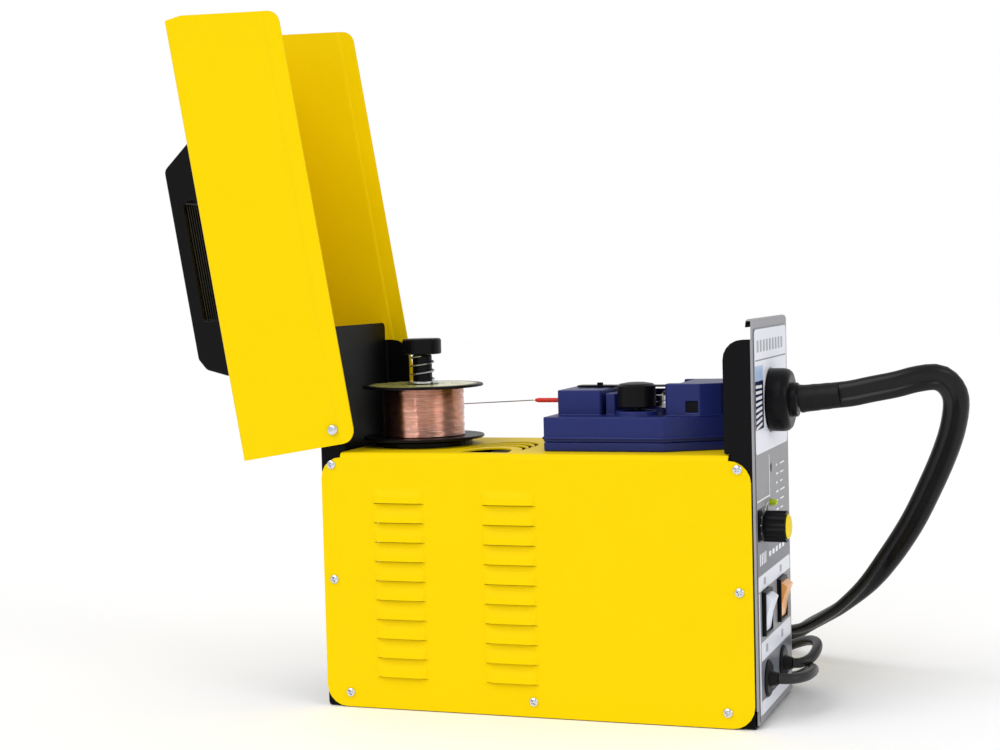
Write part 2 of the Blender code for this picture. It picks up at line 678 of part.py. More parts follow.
def rocker(name, place, mat):
    """Rocker of a switch: part of a cylinder about its pivot, closed by two flat faces, tipped one way."""
    y, z = place
    tip, steps = math.radians(90 - ROCKER_TIP), 14
    arc = [tip + (2 * math.pi - 2 * tip) * k / steps for k in range(steps + 1)]
    outline = [(ROCKER_R * math.cos(a), ROCKER_R * math.sin(a)) for a in arc]
    outline.append((ROCKER_R * math.cos(tip) - 1.2, 0.0))
    tilt = Matrix.Rotation(math.radians(-ROCKER_TILT), 2)
    outline = [tuple(tilt @ Vector(p)) for p in outline]
    outline = [(ROCKER_X + a, z + b) for a, b in outline]
    half = ROCKER_WIDE / 2
    made = plate(name, [outline], -y - half, -y + half, mat, "XZ")
    return set_origin(made, (ROCKER_X, y, z))


def gland(name, place):
    """Cable gland: a round flange on the panel and a tapered neck on both sides of it."""
    profile = [
        (0.0, 8.6), (4.6, 8.6), (6.2, 2.6), (12.6, 2.4), (GLAND_R, 1.4), (GLAND_R, 0.0), (7.8, 0.0),
        (7.8, -6.0),
        (6.0, -12.0), (0.0, -12.0),
    ]
    return turned(name, profile, (FITTING_X, *place), "rubber", "X", 24)


# ---------------------------------------------------------------- parts inside the case

def transformer_core():
    """E-I laminations: a block with a window on each side of its centre limb."""
    windows = [rectangle(y, 17, y + 16, 77) for y in (-32, 16)]
    return plate("transformer_core", [rectangle(-48, 2, 48, 92)] + windows, -140, -50, "laminated_steel",
        "YZ")


def transformer_winding():
    outer = fillet([(-154, -31.4, 8), (-36, -31.4, 8), (-36, 31.4, 8), (-154, 31.4, 8)], 3)
    return plate("transformer_winding", [outer, rectangle(-141, -16.6, -49, 16.6)], 19, 75, "copper")


def rectifier():
    """Finned heat sink that carries the rectifier diodes."""
    fins, pitch, thick = 8, 9.0, 3.0
    outline = [(-33, 2), (33, 2), (33, 8)]
    for k in reversed(range(fins)):
        y = -33 + k * pitch
        outline += [(y + thick, 8), (y + thick, 48), (y, 48), (y, 8)]
    outline = outline[:2] + outline[3:-1]
    return plate("rectifier_heatsink", [outline], 10, 80, "aluminium", "YZ")


def control_board():
    board = block("control_board", (40, 58, 60), (125, 60, 150), "board")
    relay = block("relay", (52, 40, 100), (80, 58.5, 122), "board")
    drum = rod("capacitor", 9.0, (105, 58.5, 120), (105, 36, 120), "board", 20)
    return join(board, relay, drum)


def fan_housing():
    """Square fan frame under the deck vents, with a hub plate on three struts."""
    x, y, half, low, high = *FAN_AT, 40.0, 178.0, 203.0
    frame = plate(
        "fan_housing", [rectangle(x - half, y - half, x + half, y + half), circle(x, y, 37.5, 32)], low,
        high,
        "black_plastic",
    )
    hub = rod("fan_plate", 14.0, (x, y, low + 0.2), (x, y, low + 3.0), "black_plastic", 24)
    struts = []
    for k in range(3):
        angle = math.radians(30 + 120 * k)
        strut = block(f"fan_strut_{k}", (-14.0, -2.0, low + 0.2), (14.0, 2.0, low + 2.8), "black_plastic")
        strut.rotation_euler.z = angle
        strut.location += v(x + 26 * math.cos(angle), y + 26 * math.sin(angle), 0)
        struts.append(strut)
    return join(frame, hub, *struts)


def fan_impeller():
    x, y, low, high = *FAN_AT, 181.6, 201.5
    hub = rod("fan_impeller", 14.0, (x, y, low), (x, y, high), "black_plastic", 28)
    blades = []
    for k in range(7):
        angle = 2 * math.pi * k / 7
        blade = block(f"fan_blade_{k}", (-12.0, -9.0, -0.8), (12.0, 9.0, 0.8), "black_plastic")
        blade.rotation_euler = (math.radians(38), 0.0, angle)
        blade.location = v(x + 23.5 * math.cos(angle), y + 23.5 * math.sin(angle), (low + high) / 2)
        blades.append(blade)
    return join(hub, *blades)


# ---------------------------------------------------------------- lid

def lid_front(z):
    """x of the lid's front edge at a height below the nose."""
    return LID_FRONT_FOOT + (LID_NOSE[0] - LID_FRONT_FOOT) * (z - LID_FOOT) / (LID_NOSE[1] - LID_FOOT)


def lid_shell():
    """Top, bent down into two sides. A crease along each side sets its lower band a little further out."""
    flange_top, upper = LID_TOP - LID_BEND, LID_HALF_WIDTH - LID_STEP
    low_crease, high_crease = LID_CREASE
    share = (flange_top - LID_NOSE[1]) / (LID_TOP - LID_NOSE[1])
    front_at_bend = LID_NOSE[0] + (LID_FRONT_TOP - LID_NOSE[0]) * share
    band = fillet([
        (LID_REAR, LID_FOOT, LID_CORNER), (LID_FRONT_FOOT, LID_FOOT, LID_CORNER),
        (lid_front(low_crease), low_crease, 0),
        (LID_REAR, low_crease, 0),
    ])
    outline = fillet([
        (LID_REAR, high_crease, 0), (lid_front(high_crease), high_crease, 0), (*LID_NOSE, 5),
        (front_at_bend, flange_top, 0), (LID_REAR, flange_top, 0),
    ])
    hole = circle(0.0, 0.0, 3.3, 14)
    patches, strips = [], []
    for side in (-1, 1):
        patches.append(([band], lambda a, b, s=side: (a, s * LID_HALF_WIDTH, b)))
        patches.append(([outline, hole], lambda a, b, s=side: (a, s * upper, b)))
        strips.append([
            [(LID_REAR, side * y, z), (lid_front(z), side * y, z)]
            for y, z in ((LID_HALF_WIDTH, low_crease), (upper, high_crease))
        ])
        low = [(LID_REAR, side * upper, flange_top), (front_at_bend, side * upper, flange_top)]
        high = [(LID_REAR, side * (upper - LID_BEND), LID_TOP),
            (LID_FRONT_TOP, side * (upper - LID_BEND), LID_TOP)]
        lines = bend_lines(low, high, 2, 1)
        for k, line in enumerate(lines):
            share = math.sin(math.pi / 2 * k / 3)
            line[1] = (front_at_bend + (LID_FRONT_TOP - front_at_bend) * share, *line[1][1:])
        strips.append(lines)
    top = rectangle(LID_REAR, LID_BEND - upper, LID_FRONT_TOP, upper - LID_BEND)
    patches.append(([top], lambda a, b: (a, b, LID_TOP)))
    return open_lid(sheet("lid", patches, strips, LID_SHEET, "yellow_paint", (0, 0, 1)))


def open_lid(obj):
    """Hangs an object that is drawn in the shut lid's coordinates on the open lid."""
    obj.matrix_basis = (
        Matrix.Translation(v(*PIVOT)) @ Matrix.Rotation(math.radians(-LID_OPEN), 4, "Y") @ obj.matrix_basis
    )
    return obj


def carry_handle():
    """Arched grip on the lid's top, in x and z from the pivot."""
    foot = LID_TOP + GAP
    outline = fillet([
        (54.0, foot, 0), (60.5, foot + 31, 8), (69.0, foot + 50, 6), (79.0, foot + 56, 6),
        (244.0, foot + 56, 7),
        (262.0, foot + 30, 14), (281.0, foot, 0), (213.2, foot, 0), (213.2, foot + 43, 3),
        (110.2, foot + 43, 3),
        (110.2, foot, 0),
    ], 4)
    half = HANDLE_WIDTH / 2
    return open_lid(plate("carry_handle", [outline], -half, half, "black_plastic", "XZ"))


def hinge_screw(name, side):
    """Shouldered pan-head screw through the lid and the rear panel's flange."""
    out = LID_HALF_WIDTH - LID_STEP + GAP
    shank = out - (CHASSIS_HALF_WIDTH - 7.0)
    profile = [
        (0.0, 2.6), (2.4, 2.5), (3.8, 1.8), (4.6, 0.6), (4.6, 0.0), (2.9, 0.0), (2.9, -2.4), (1.6, -2.6),
        (1.6, -shank), (0.0, -shank),
    ]
    screw = turned(name, profile, (PIVOT[0], side * out, PIVOT[2]), "zinc", "Y", 16)
    if side < 0:
        screw.rotation_euler = (math.pi / 2, 0.0, 0.0)
    return screw


# ---------------------------------------------------------------- spool and its holder

def spool_spindle():
    profile = [
        (0.0, 290.0), (4.0, 290.0), (4.0, 280.4), (SPINDLE_R - 0.5, 280.4), (SPINDLE_R, 279.8),
        (SPINDLE_R, 211.0),
        (HOLDER_R - 1, 210.8), (HOLDER_R, 209.8), (HOLDER_R, 206.3), (0.0, 206.3),
    ]
    return turned("spool_spindle", profile, (SPOOL_X, SPOOL_Y, 0), "black_plastic", steps=36)


def spool_reel():
    profile = [
        (SPOOL_BORE, SPOOL_TOP), (SPOOL_R - 0.4, SPOOL_TOP), (SPOOL_R, SPOOL_TOP - 0.6),
        (SPOOL_R, SPOOL_TOP - FLANGE),
        (BARREL_R, SPOOL_TOP - FLANGE), (BARREL_R, SPOOL_FOOT + FLANGE), (SPOOL_R, SPOOL_FOOT + FLANGE),
        (SPOOL_R, SPOOL_FOOT + 0.6), (SPOOL_R - 0.4, SPOOL_FOOT), (SPOOL_BORE, SPOOL_FOOT),
    ]
    return turned("spool_reel", profile, (SPOOL_X, SPOOL_Y, 0), "black_plastic", steps=40, closed=True)


def wire_winding():
    low, high = SPOOL_FOOT + FLANGE + GAP, SPOOL_TOP - FLANGE - GAP
    inner = BARREL_R + GAP
    profile = [
        (inner, high), (WINDING_R - 1.0, high), (WINDING_R - 0.2, high - 4), (WINDING_R, (low + high) / 2),
        (WINDING_R - 0.2, low + 4), (WINDING_R - 0.8, low), (inner, low),
    ]
    return turned("wire_winding", profile, (SPOOL_X, SPOOL_Y, 0), "copper", steps=40, closed=True)


def brake_washer():
    profile = [(8.5, 258.8), (12.6, 258.8), (13.0, 258.4), (13.0, 257.2), (8.5, 257.2)]
    return turned("brake_washer", profile, (SPOOL_X, SPOOL_Y, 0), "zinc", steps=28, closed=True)


def helix(radius, low, high, turns, per_turn=14):
    count = int(turns * per_turn)
    return [
        (radius * math.cos(2 * math.pi * turns * k / count),
            radius * math.sin(2 * math.pi * turns * k / count),
         low + (high - low) * k / count)
        for k in range(count + 1)
    ]


def brake_spring():
    coil = [(SPOOL_X + x, SPOOL_Y + y, z) for x, y, z in helix(9.4, 259.9, 279.8, 2.8, 14)]
    return tube("brake_spring", coil, 0.75, "steel", 1)


def brake_knob():
    profile = [
        (0.0, 293.9), (14.9, 293.9), (KNOB_R, 292.6), (KNOB_R, 282.0), (15.3, 281.1), (4.4, 281.1),
        (4.4, 291.0),
        (0.0, 291.0),
    ]
    return turned("brake_knob", profile, (SPOOL_X, SPOOL_Y, 0), "black_plastic", steps=36)


def welding_wire():
    """The strand from the winding's far side through the feeder to the torch outlet."""
    tangent = (SPOOL_X + 12.0, SPOOL_Y + WINDING_R * 0.943 + 1.2, 236.8)
    return tube("welding_wire", [tangent, (-15.5, WIRE_Y, WIRE_Z), (165.0, WIRE_Y, WIRE_Z)], WIRE_R,
        "copper", 1)


# ---------------------------------------------------------------- feeder

def feeder_outline(inset=0.0):
    corners = []
    for x, y, r in FEED_OUTLINE:
        corners.append((x + inset * (1 if x < 50 else -1), y + inset * (1 if y < 0 else -1),
            max(r - inset, 0.0)))
    return fillet(corners, 2)


def feeder_base():
    tray = plate("feeder_base", [feeder_outline()], 206.3, FEED_SEAM, "blue_plastic")
    hollow = plate("feeder_base_hollow", [feeder_outline(3.0)], 208.4, FEED_SEAM + 2, "blue_plastic")
    return cut(tray, hollow)


def feeder_cover():
    """Upper housing: a slab over the drive, a block on each side of the rollers and a wall behind them."""
    low = FEED_SLAB - 1.5
    slab = plate("feeder_cover", [feeder_outline()], FEED_SEAM + GAP, FEED_SLAB, "blue_plastic")
    inlet = plate("inlet_block", [fillet([(13, -31, 2), (49, -31, 2), (49, 29, 2), (13, 29, 2)], 2)], low,
                  FEED_A_TOP, "blue_plastic")
    middle = plate("middle_block", [[(51.5, -27), (59, -27), (64.5, -16), (64.5, 27.5), (51.5, 27.5)]], low,
                   FEED_WALL_TOP - 0.4, "blue_plastic")
    outlet = plate("outlet_block", [fillet([(102, -36, 1), (129, -36, 3), (145, -26.6, 3), (145, 31, 2),
        (102, 31, 1)], 2)],
                   low, FEED_B_TOP, "blue_plastic")
    wall = block("rear_wall", (47, 27, low), (104, 30.5, FEED_WALL_TOP), "blue_plastic")
    boss = rod("knob_boss", 16.5, (TENSION_X, TENSION_Y, low), (TENSION_X, TENSION_Y, 236.6),
        "blue_plastic", 28)
    hollow = block("drive_hollow", (11, -46, 200), (110, 37, 230), "blue_plastic")
    corner = block("corner_hollow", (109, -21, 200), (143, 37, 229.9), "blue_plastic")
    pocket = block("roller_pocket", (86, -25.5, 233.6), (110.5, 25.5, 262), "blue_plastic")
    window = block("side_window", (118.2, -50, 235.3), (127.5, -29.5, 243.9), "blue_plastic")
    along_wire = [
        rod("guide_bore", 2.3, (8, WIRE_Y, WIRE_Z), (26, WIRE_Y, WIRE_Z), "blue_plastic", 16),
        rod("wire_bore", 1.5, (24, WIRE_Y, WIRE_Z), (68, WIRE_Y, WIRE_Z), "blue_plastic", 12),
        rod("outlet_bore", 5.4, (108, WIRE_Y, WIRE_Z), (148, WIRE_Y, WIRE_Z), "blue_plastic", 20),
    ]
    upright = [
        rod("shaft_bore", 3.4, (ROLLER_X, DRIVE_Y, 226), (ROLLER_X, DRIVE_Y, 240), "blue_plastic", 16),
        rod("stem_bore", 3.4, (TENSION_X, TENSION_Y, 226), (TENSION_X, TENSION_Y, 240), "blue_plastic", 16),
        rod("arm_bore", 2.9, (*ARM_PIVOT, 236), (*ARM_PIVOT, 256), "blue_plastic", 16),
    ]
    return cut(join(slab, inlet, middle, outlet, wall, boss), hollow, corner, pocket, window, *along_wire,
        *upright)


def drive_roller():
    """Grooved roller on the drive shaft."""
    half = ROLLER_R / 2 + 0.2
    profile = [
        (0.0, 250.5), (3.0, 250.5), (3.0, WIRE_Z + half), (ROLLER_R, WIRE_Z + half),
        (ROLLER_R, WIRE_Z + 0.8),
        (ROLLER_R - 0.5, WIRE_Z), (ROLLER_R, WIRE_Z - 0.8), (ROLLER_R, WIRE_Z - half), (3.0, WIRE_Z - half),
        (3.0, 210.0), (0.0, 210.0),
    ]
    return turned("drive_roller", profile, (ROLLER_X, DRIVE_Y, 0), "steel", steps=32)


def worm_wheel():
    outline = []
    for k in range(WHEEL_TEETH):
        for share, radius in ((0.0, WHEEL_R), (0.35, WHEEL_R), (0.5, WHEEL_R - 1.4), (0.85, WHEEL_R - 1.4)):
            angle = 2 * math.pi * (k + share) / WHEEL_TEETH
            outline.append((ROLLER_X + radius * math.cos(angle), DRIVE_Y + radius * math.sin(angle)))
    wheel = plate("worm_wheel", [outline, circle(ROLLER_X, DRIVE_Y, 3.3, 16)], GEAR_Z - 4, GEAR_Z + 4,
                  "white_plastic")
    return set_origin(wheel, (ROLLER_X, DRIVE_Y, GEAR_Z))


def motor_worm():
    """Motor shaft with its worm: ridged where it meets the wheel."""
    length, ridges = 46.0, 6
    profile = [(0.0, length), (1.8, length), (1.8, 36.0)]
    for k in range(ridges):
        top = 36.0 - 3.4 * k
        profile += [(WORM_R - 1.2, top), (WORM_R, top - 0.8), (WORM_R, top - 1.8),
            (WORM_R - 1.2, top - 2.6)]
    profile += [(1.8, 12.0), (1.8, 0.0), (0.0, 0.0)]
    return turned("motor_worm", profile, (64.0, WORM_Y, GEAR_Z), "steel", "X", 14)


def feed_motor():
    profile = [(0.0, 45.0), (4.0, 45.0), (4.0, 42.0), (MOTOR_R - 1, 42.0), (MOTOR_R, 41.0), (MOTOR_R, 1.0),
               (MOTOR_R - 1, 0.0), (0.0, 0.0)]
    return turned("feed_motor", profile, (18.5, WORM_Y, GEAR_Z), "steel", "X", 28)


def pressure_roller():
    half = ROLLER_R / 2 + 0.2
    profile = [(2.4, WIRE_Z + half), (ROLLER_R, WIRE_Z + half), (ROLLER_R, WIRE_Z - half),
        (2.4, WIRE_Z - half)]
    return turned("pressure_roller", profile, (ROLLER_X, PRESS_Y, 0), "steel", steps=32, closed=True)


def pressure_arm():
    """Flat arm over the housing: a pivot pin, an axle for the pressure roller and a lug for the spring."""
    low, high = 253.0, 254.2
    x0, y0 = ARM_PIVOT
    bar = plate(
        "pressure_arm",
        [fillet([(x0 - 18, y0 - 7, 3), (ROLLER_X + 7, PRESS_Y - 6, 6), (ROLLER_X + 7, PRESS_Y + 6, 6),
                 (x0 - 18, y0 + 7, 3)], 3)],
        low, high, "black_paint",
    )
    pivot = rod("arm_pivot", 2.5, (x0, y0, 240.0), (x0, y0, 256.2), "black_paint", 16)
    axle = rod("arm_axle", 2.0, (ROLLER_X, PRESS_Y, 236.0), (ROLLER_X, PRESS_Y, low + 1), "black_paint", 16)
    shoulder = rod("arm_shoulder", 4.0, (ROLLER_X, PRESS_Y, 248.0), (ROLLER_X, PRESS_Y, low + 0.8),
        "black_paint", 16)
    lug = block("arm_lug", (66, 9, 240), (74, 12, low + 1), "black_paint")
    return set_origin(join(bar, pivot, axle, shoulder, lug), (x0, y0, low))


def pressure_spring():
    coil = [(70.0 + x, z, 246.0 + y) for x, y, z in helix(3.6, 13.0, 26.0, 4.5, 10)]
    return tube("pressure_spring", coil, 0.5, "steel", 1)


def tension_knob():
    """Pressure knob with its stem and the cam under the housing's roof."""
    profile = [
        (0.0, TENSION_TOP + 1.4), (7.0, TENSION_TOP + 1.0), (TENSION_R - 2.2, TENSION_TOP),
        (TENSION_R, TENSION_TOP - 1.6),
        (TENSION_R, TENSION_FOOT + 1.0), (TENSION_R - 1.0, TENSION_FOOT), (3.0, TENSION_FOOT), (3.0, 225.2),
        (0.0, 225.2),
    ]
    knob = turned("tension_knob", profile, (TENSION_X, TENSION_Y, 0), "black_plastic", steps=36)
    cam = rod("tension_cam", 6.0, (TENSION_X, TENSION_Y + 2.0, 225.2), (TENSION_X, TENSION_Y + 2.0, 229.0),
              "black_plastic", 24)
    return join(knob, cam)


def inlet_guide():
    profile = [(1.0, 25.5), (1.85, 25.5), (1.85, -11.5), (1.1, -14.0), (1.0, -14.0)]
    return turned("inlet_guide", profile, (0, WIRE_Y, WIRE_Z), "red_plastic", "X", 16, closed=True)


def outlet_tube():
    """Brass tube that takes the wire from the rollers to the torch outlet."""
    profile = [
        (1.2, FRONT_X - 4), (4.8, FRONT_X - 4), (4.8, 153.0), (7.0, 152.6), (7.0, 147.4), (4.8, 147.0),
        (4.8, 114.0),
        (2.4, 111.5), (1.2, 111.5),
    ]
    return turned("outlet_tube", profile, (0, WIRE_Y, WIRE_Z), "brass", "X", 20, closed=True)


# ---------------------------------------------------------------- cords and what is on them

def torch_sleeve():
    return rod("torch_sleeve", SLEEVE_R[0], *SLEEVE, "rubber", 24, end_radius=SLEEVE_R[1])


def cord(name, route, radius, spacing, resolution=2):
    """A cord that leaves straight along its route's first two points."""
    return tube(name, [route[0]] + smooth_path(route[1:], spacing), radius, "rubber", resolution)


def coil_ring(name, centre, inner, outer, high):
    soft = 2.5
    profile = [
        (inner, high - soft), (inner + soft, high), (outer - soft, high), (outer, high - soft),
        (outer, GAP + soft),
        (outer - soft, GAP), (inner + soft, GAP), (inner, GAP + soft),
    ]
    return turned(name, profile, (*centre, 0), "rubber", steps=40, closed=True)


def mains_plug():
    """Round-bodied two-pin plug lying on the floor, pins away from the cord."""
    x, y, z = PLUG_AT
    profile = [(0.0, 42.0), (14.0, 42.0), (16.0, 39.0), (16.0, 24.0), (11.0, 14.0), (6.5, 8.0), (5.0, 0.0),
        (0.0, 0.0)]
    body = turned("mains_plug", profile, (x, y, z), "black_plastic", "Y", 28)
    pins = [
        rod(f"plug_pin_{k}", 2.3, (x + dx, y + 40.0, z), (x + dx, y + 60.0, z), "zinc", 12)
        for k, dx in enumerate((-9.5, 9.5))
    ]
    return join(body, *pins)


def torch_handle():
    """Torch grip lying on its side, with a slot in its far side for the trigger."""
    x, y, z = HANDLE_AT
    profile = [
        (0.0, 118.0), (11.0, 118.0), (13.5, 114.0), (16.0, 96.0), (16.6, 60.0), (14.5, 22.0), (12.0, 4.0),
        (11.0, 0.0),
        (0.0, 0.0),
    ]
    grip = turned("torch_handle", profile, (x, y, z), "black_plastic", "X", 28)
    grip.rotation_euler = (0.0, -math.pi / 2, 0.0)
    slot = block("trigger_slot", (x - 104, y + 4.4, z - 5.4), (x - 66, y + 22.0, z + 5.4), "black_plastic")
    return cut(grip, slot)


def torch_nozzle():
    """Bent neck with the gas-less nozzle on its end."""
    x, y, z = HANDLE_AT
    start = x - 118.3
    neck = tube(
        "torch_nozzle",
        smooth_path([(start, y, z), (start - 12, y, z), (start - 25, y + 4.5, z),
            (start - 36, y + 13.5, z)], 6.0),
        6.0, "black_plastic",
    )
    cone = rod("nozzle_cone", 9.0, (start - 34, y + 12.0, z), (start - 50, y + 26.5, z), "black_plastic",
        20,
               end_radius=8.0)
    return join(neck, cone)


def torch_trigger():
    """Trigger lever in the grip's slot, hinged at its front end."""
    x, y, z = HANDLE_AT
    outline = fillet([(x - 103, y + 8.8, 0), (x - 67, y + 8.8, 0), (x - 67, y + 16.2, 2),
        (x - 82, y + 22.5, 4),
                      (x - 103, y + 15.0, 3)], 3)
    lever = plate("torch_trigger", [outline], z - 4.8, z + 4.8, "grey_plastic")
    return set_origin(lever, (x - 101.0, y + 11.0, z))


def clamp_outline(side):
    """One lever of the earth clamp in x and y: jaw to the left, grip to the right."""
    px, py = CLAMP_PIVOT
    shape = [(0, 1.2), (42, 9.5), (42, 15.5), (6, 11), (-10, 12), (-50, 10), (-58, 7), (-58, 3.5),
        (-52, 1.0), (-40, 4.5), (-14, 4.5)]
    points = [(px + a, py + side * b) for a, b in shape]
    return points if side > 0 else points[::-1]


def clamp_jaw(name, side, ear_low, ear_high):
    """A clamp lever with an ear round the pivot at its own level. The fixed one carries the pin."""
    px, py = CLAMP_PIVOT
    lever = plate(name, [clamp_outline(side)], 0.4, CLAMP_THICK, "copper")
    room = rod(name + "_room", 9.0, (px, py, ear_low), (px, py, ear_high), "copper", 28)
    return lever, room


def clamp_fixed_jaw():
    px, py = CLAMP_PIVOT
    split = CLAMP_THICK - 7.0
    lever, room = clamp_jaw("clamp_fixed_jaw", -1, split, CLAMP_THICK + 2)
    ear = rod("clamp_fixed_ear", 8.0, (px, py, 0.5), (px, py, split - 0.3), "copper", 24)
    pin = rod("clamp_pin", 2.6, (px, py, 1.0), (px, py, CLAMP_THICK + 2), "copper", 14)
    socket = rod("clamp_socket", 5.0, (px + 44.5, py - 13.5, 12.4), (px + 28.0, py - 13.5, 12.4), "copper",
        16)
    return join(cut(lever, room), ear, pin, socket)


def clamp_moving_jaw():
    px, py = CLAMP_PIVOT
    split = CLAMP_THICK - 7.0
    lever, room = clamp_jaw("clamp_moving_jaw", 1, -2, split)
    ear = plate("clamp_moving_ear", [circle(px, py, 8.0, 24)], split, CLAMP_THICK - 0.1, "copper")
    bore = rod("clamp_bore", 3.0, (px, py, split - 2), (px, py, CLAMP_THICK + 3), "copper", 16)
    return cut(join(cut(lever, room), ear), bore)


# ---------------------------------------------------------------- assembly

def build():
    base_pan(), front_panel(), rear_panel(), cover(), front_overlay()
    torch_collar(), speed_potentiometer(), speed_knob(), speed_knob_cap()
    led("power_led", POWER_LED, 6.0, "green_lens")
    led("fault_led", FAULT_LED, 1.2, "dark_lens")
    switch_housing("heat_switch_housing", HEAT_SWITCH)
    switch_housing("power_switch_housing", POWER_SWITCH)
    rocker("heat_rocker", HEAT_SWITCH, "white_plastic")
    rocker("power_rocker", POWER_SWITCH, "orange_plastic")
    gland("mains_gland", MAINS_GLAND)
    gland("earth_gland", EARTH_GLAND)
    transformer_core(), transformer_winding(), rectifier(), control_board(), fan_housing(), fan_impeller()
    lid_shell(), carry_handle(), hinge_screw("hinge_screw_near", -1), hinge_screw("hinge_screw_far", 1)
    spool_spindle(), spool_reel(), wire_winding(), brake_washer(), brake_spring(), brake_knob()
    welding_wire()
    feeder_base(), feeder_cover(), drive_roller(), worm_wheel(), motor_worm(), feed_motor()
    pressure_roller(), pressure_arm(), pressure_spring(), tension_knob(), inlet_guide(), outlet_tube()
    torch_sleeve()
    cord("torch_cable", TORCH_ROUTE, TORCH_CABLE_R, 26.0)
    coil_ring("torch_cable_coil", TORCH_COIL, TORCH_COIL_IN, TORCH_COIL_OUT, TORCH_COIL_HIGH)
    torch_handle(), torch_nozzle(), torch_trigger()
    cord("mains_lead", MAINS_ROUTE, LEAD_R, 14.0)
    coil_ring("mains_lead_coil", MAINS_COIL, LEAD_COIL_IN, LEAD_COIL_OUT, LEAD_COIL_HIGH)
    mains_plug()
    cord("earth_lead", EARTH_ROUTE, LEAD_R, 14.0)
    coil_ring("earth_lead_coil", EARTH_COIL, LEAD_COIL_IN, LEAD_COIL_OUT, LEAD_COIL_HIGH)
    clamp_fixed_jaw(), clamp_moving_jaw()


clear_scene()
PARTS = new_collection("wire_feed_welder")
CUTTERS = new_collection("cutters")
MATERIALS = make_materials()
build()
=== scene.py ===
"""Looks of a compact wire-feed welder with its lid open: finishes, cords, prints and small hardware."""

import json
import math

import bmesh
import bpy
import numpy as np
from mathutils import Matrix, Vector


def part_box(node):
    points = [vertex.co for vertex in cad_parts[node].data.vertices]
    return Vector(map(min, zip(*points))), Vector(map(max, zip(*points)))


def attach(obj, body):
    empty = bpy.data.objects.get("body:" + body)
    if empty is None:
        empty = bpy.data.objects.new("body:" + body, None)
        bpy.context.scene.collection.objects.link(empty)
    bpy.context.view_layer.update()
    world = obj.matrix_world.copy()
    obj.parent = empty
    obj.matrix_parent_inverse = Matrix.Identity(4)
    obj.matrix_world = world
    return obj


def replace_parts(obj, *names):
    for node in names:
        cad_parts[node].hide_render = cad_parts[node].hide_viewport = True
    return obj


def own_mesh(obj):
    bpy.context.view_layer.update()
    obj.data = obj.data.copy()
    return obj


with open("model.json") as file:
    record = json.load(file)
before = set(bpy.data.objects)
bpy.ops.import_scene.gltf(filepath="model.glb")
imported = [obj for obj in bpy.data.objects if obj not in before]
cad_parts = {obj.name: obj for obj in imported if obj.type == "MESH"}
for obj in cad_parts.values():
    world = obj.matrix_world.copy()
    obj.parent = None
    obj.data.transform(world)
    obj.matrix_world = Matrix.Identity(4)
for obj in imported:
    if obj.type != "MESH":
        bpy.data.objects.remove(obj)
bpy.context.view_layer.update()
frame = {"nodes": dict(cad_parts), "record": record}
NODES = frame["nodes"]
MM = 0.001


# ---------------------------------------------------------------- camera

YAW_PITCH_ROLL = (19.80, 2.99, -1.48)     # degrees
CAMERA_PLACE = (0.4575, -1.3972, 0.3408)
SENSOR_WIDTH, LENS = 36.0, 65.66
CLIP_NEAR, CLIP_FAR = 0.05, 50.0


def make_camera():
    """A camera turned by yaw about Z, pitched down, then rolled about its own line of sight."""
    yaw, pitch, roll = (math.radians(a) for a in YAW_PITCH_ROLL)
    forward = Vector((-math.sin(yaw) * math.cos(pitch), math.cos(yaw) * math.cos(pitch), -math.sin(pitch)))
    level = Vector((math.cos(yaw), math.sin(yaw), 0.0))
    over = level.cross(forward)
    right = level * math.cos(roll) + over * math.sin(roll)
    up = -level * math.sin(roll) + over * math.cos(roll)
    data = bpy.data.cameras.new("camera")
    data.sensor_width, data.lens = SENSOR_WIDTH, LENS
    data.clip_start, data.clip_end = CLIP_NEAR, CLIP_FAR
    camera = bpy.data.objects.new("camera", data)
    bpy.context.scene.collection.objects.link(camera)
    turn = Matrix((right, up, -forward)).transposed()
    camera.matrix_world = Matrix.Translation(CAMERA_PLACE) @ turn.to_4x4()
    bpy.context.scene.camera = camera
    return camera


CAMERA = make_camera()


# ---------------------------------------------------------------- materials

MIX_A, MIX_B, MIX_OUT = 6, 7, 2     # the colour sockets of a Mix node
GLOSS_SPREAD = 0.15
RELIEF_DEPTH = 0.0001
RELIEF_PER_GRAIN = 10
COAT_ROUGHNESS = 0.12


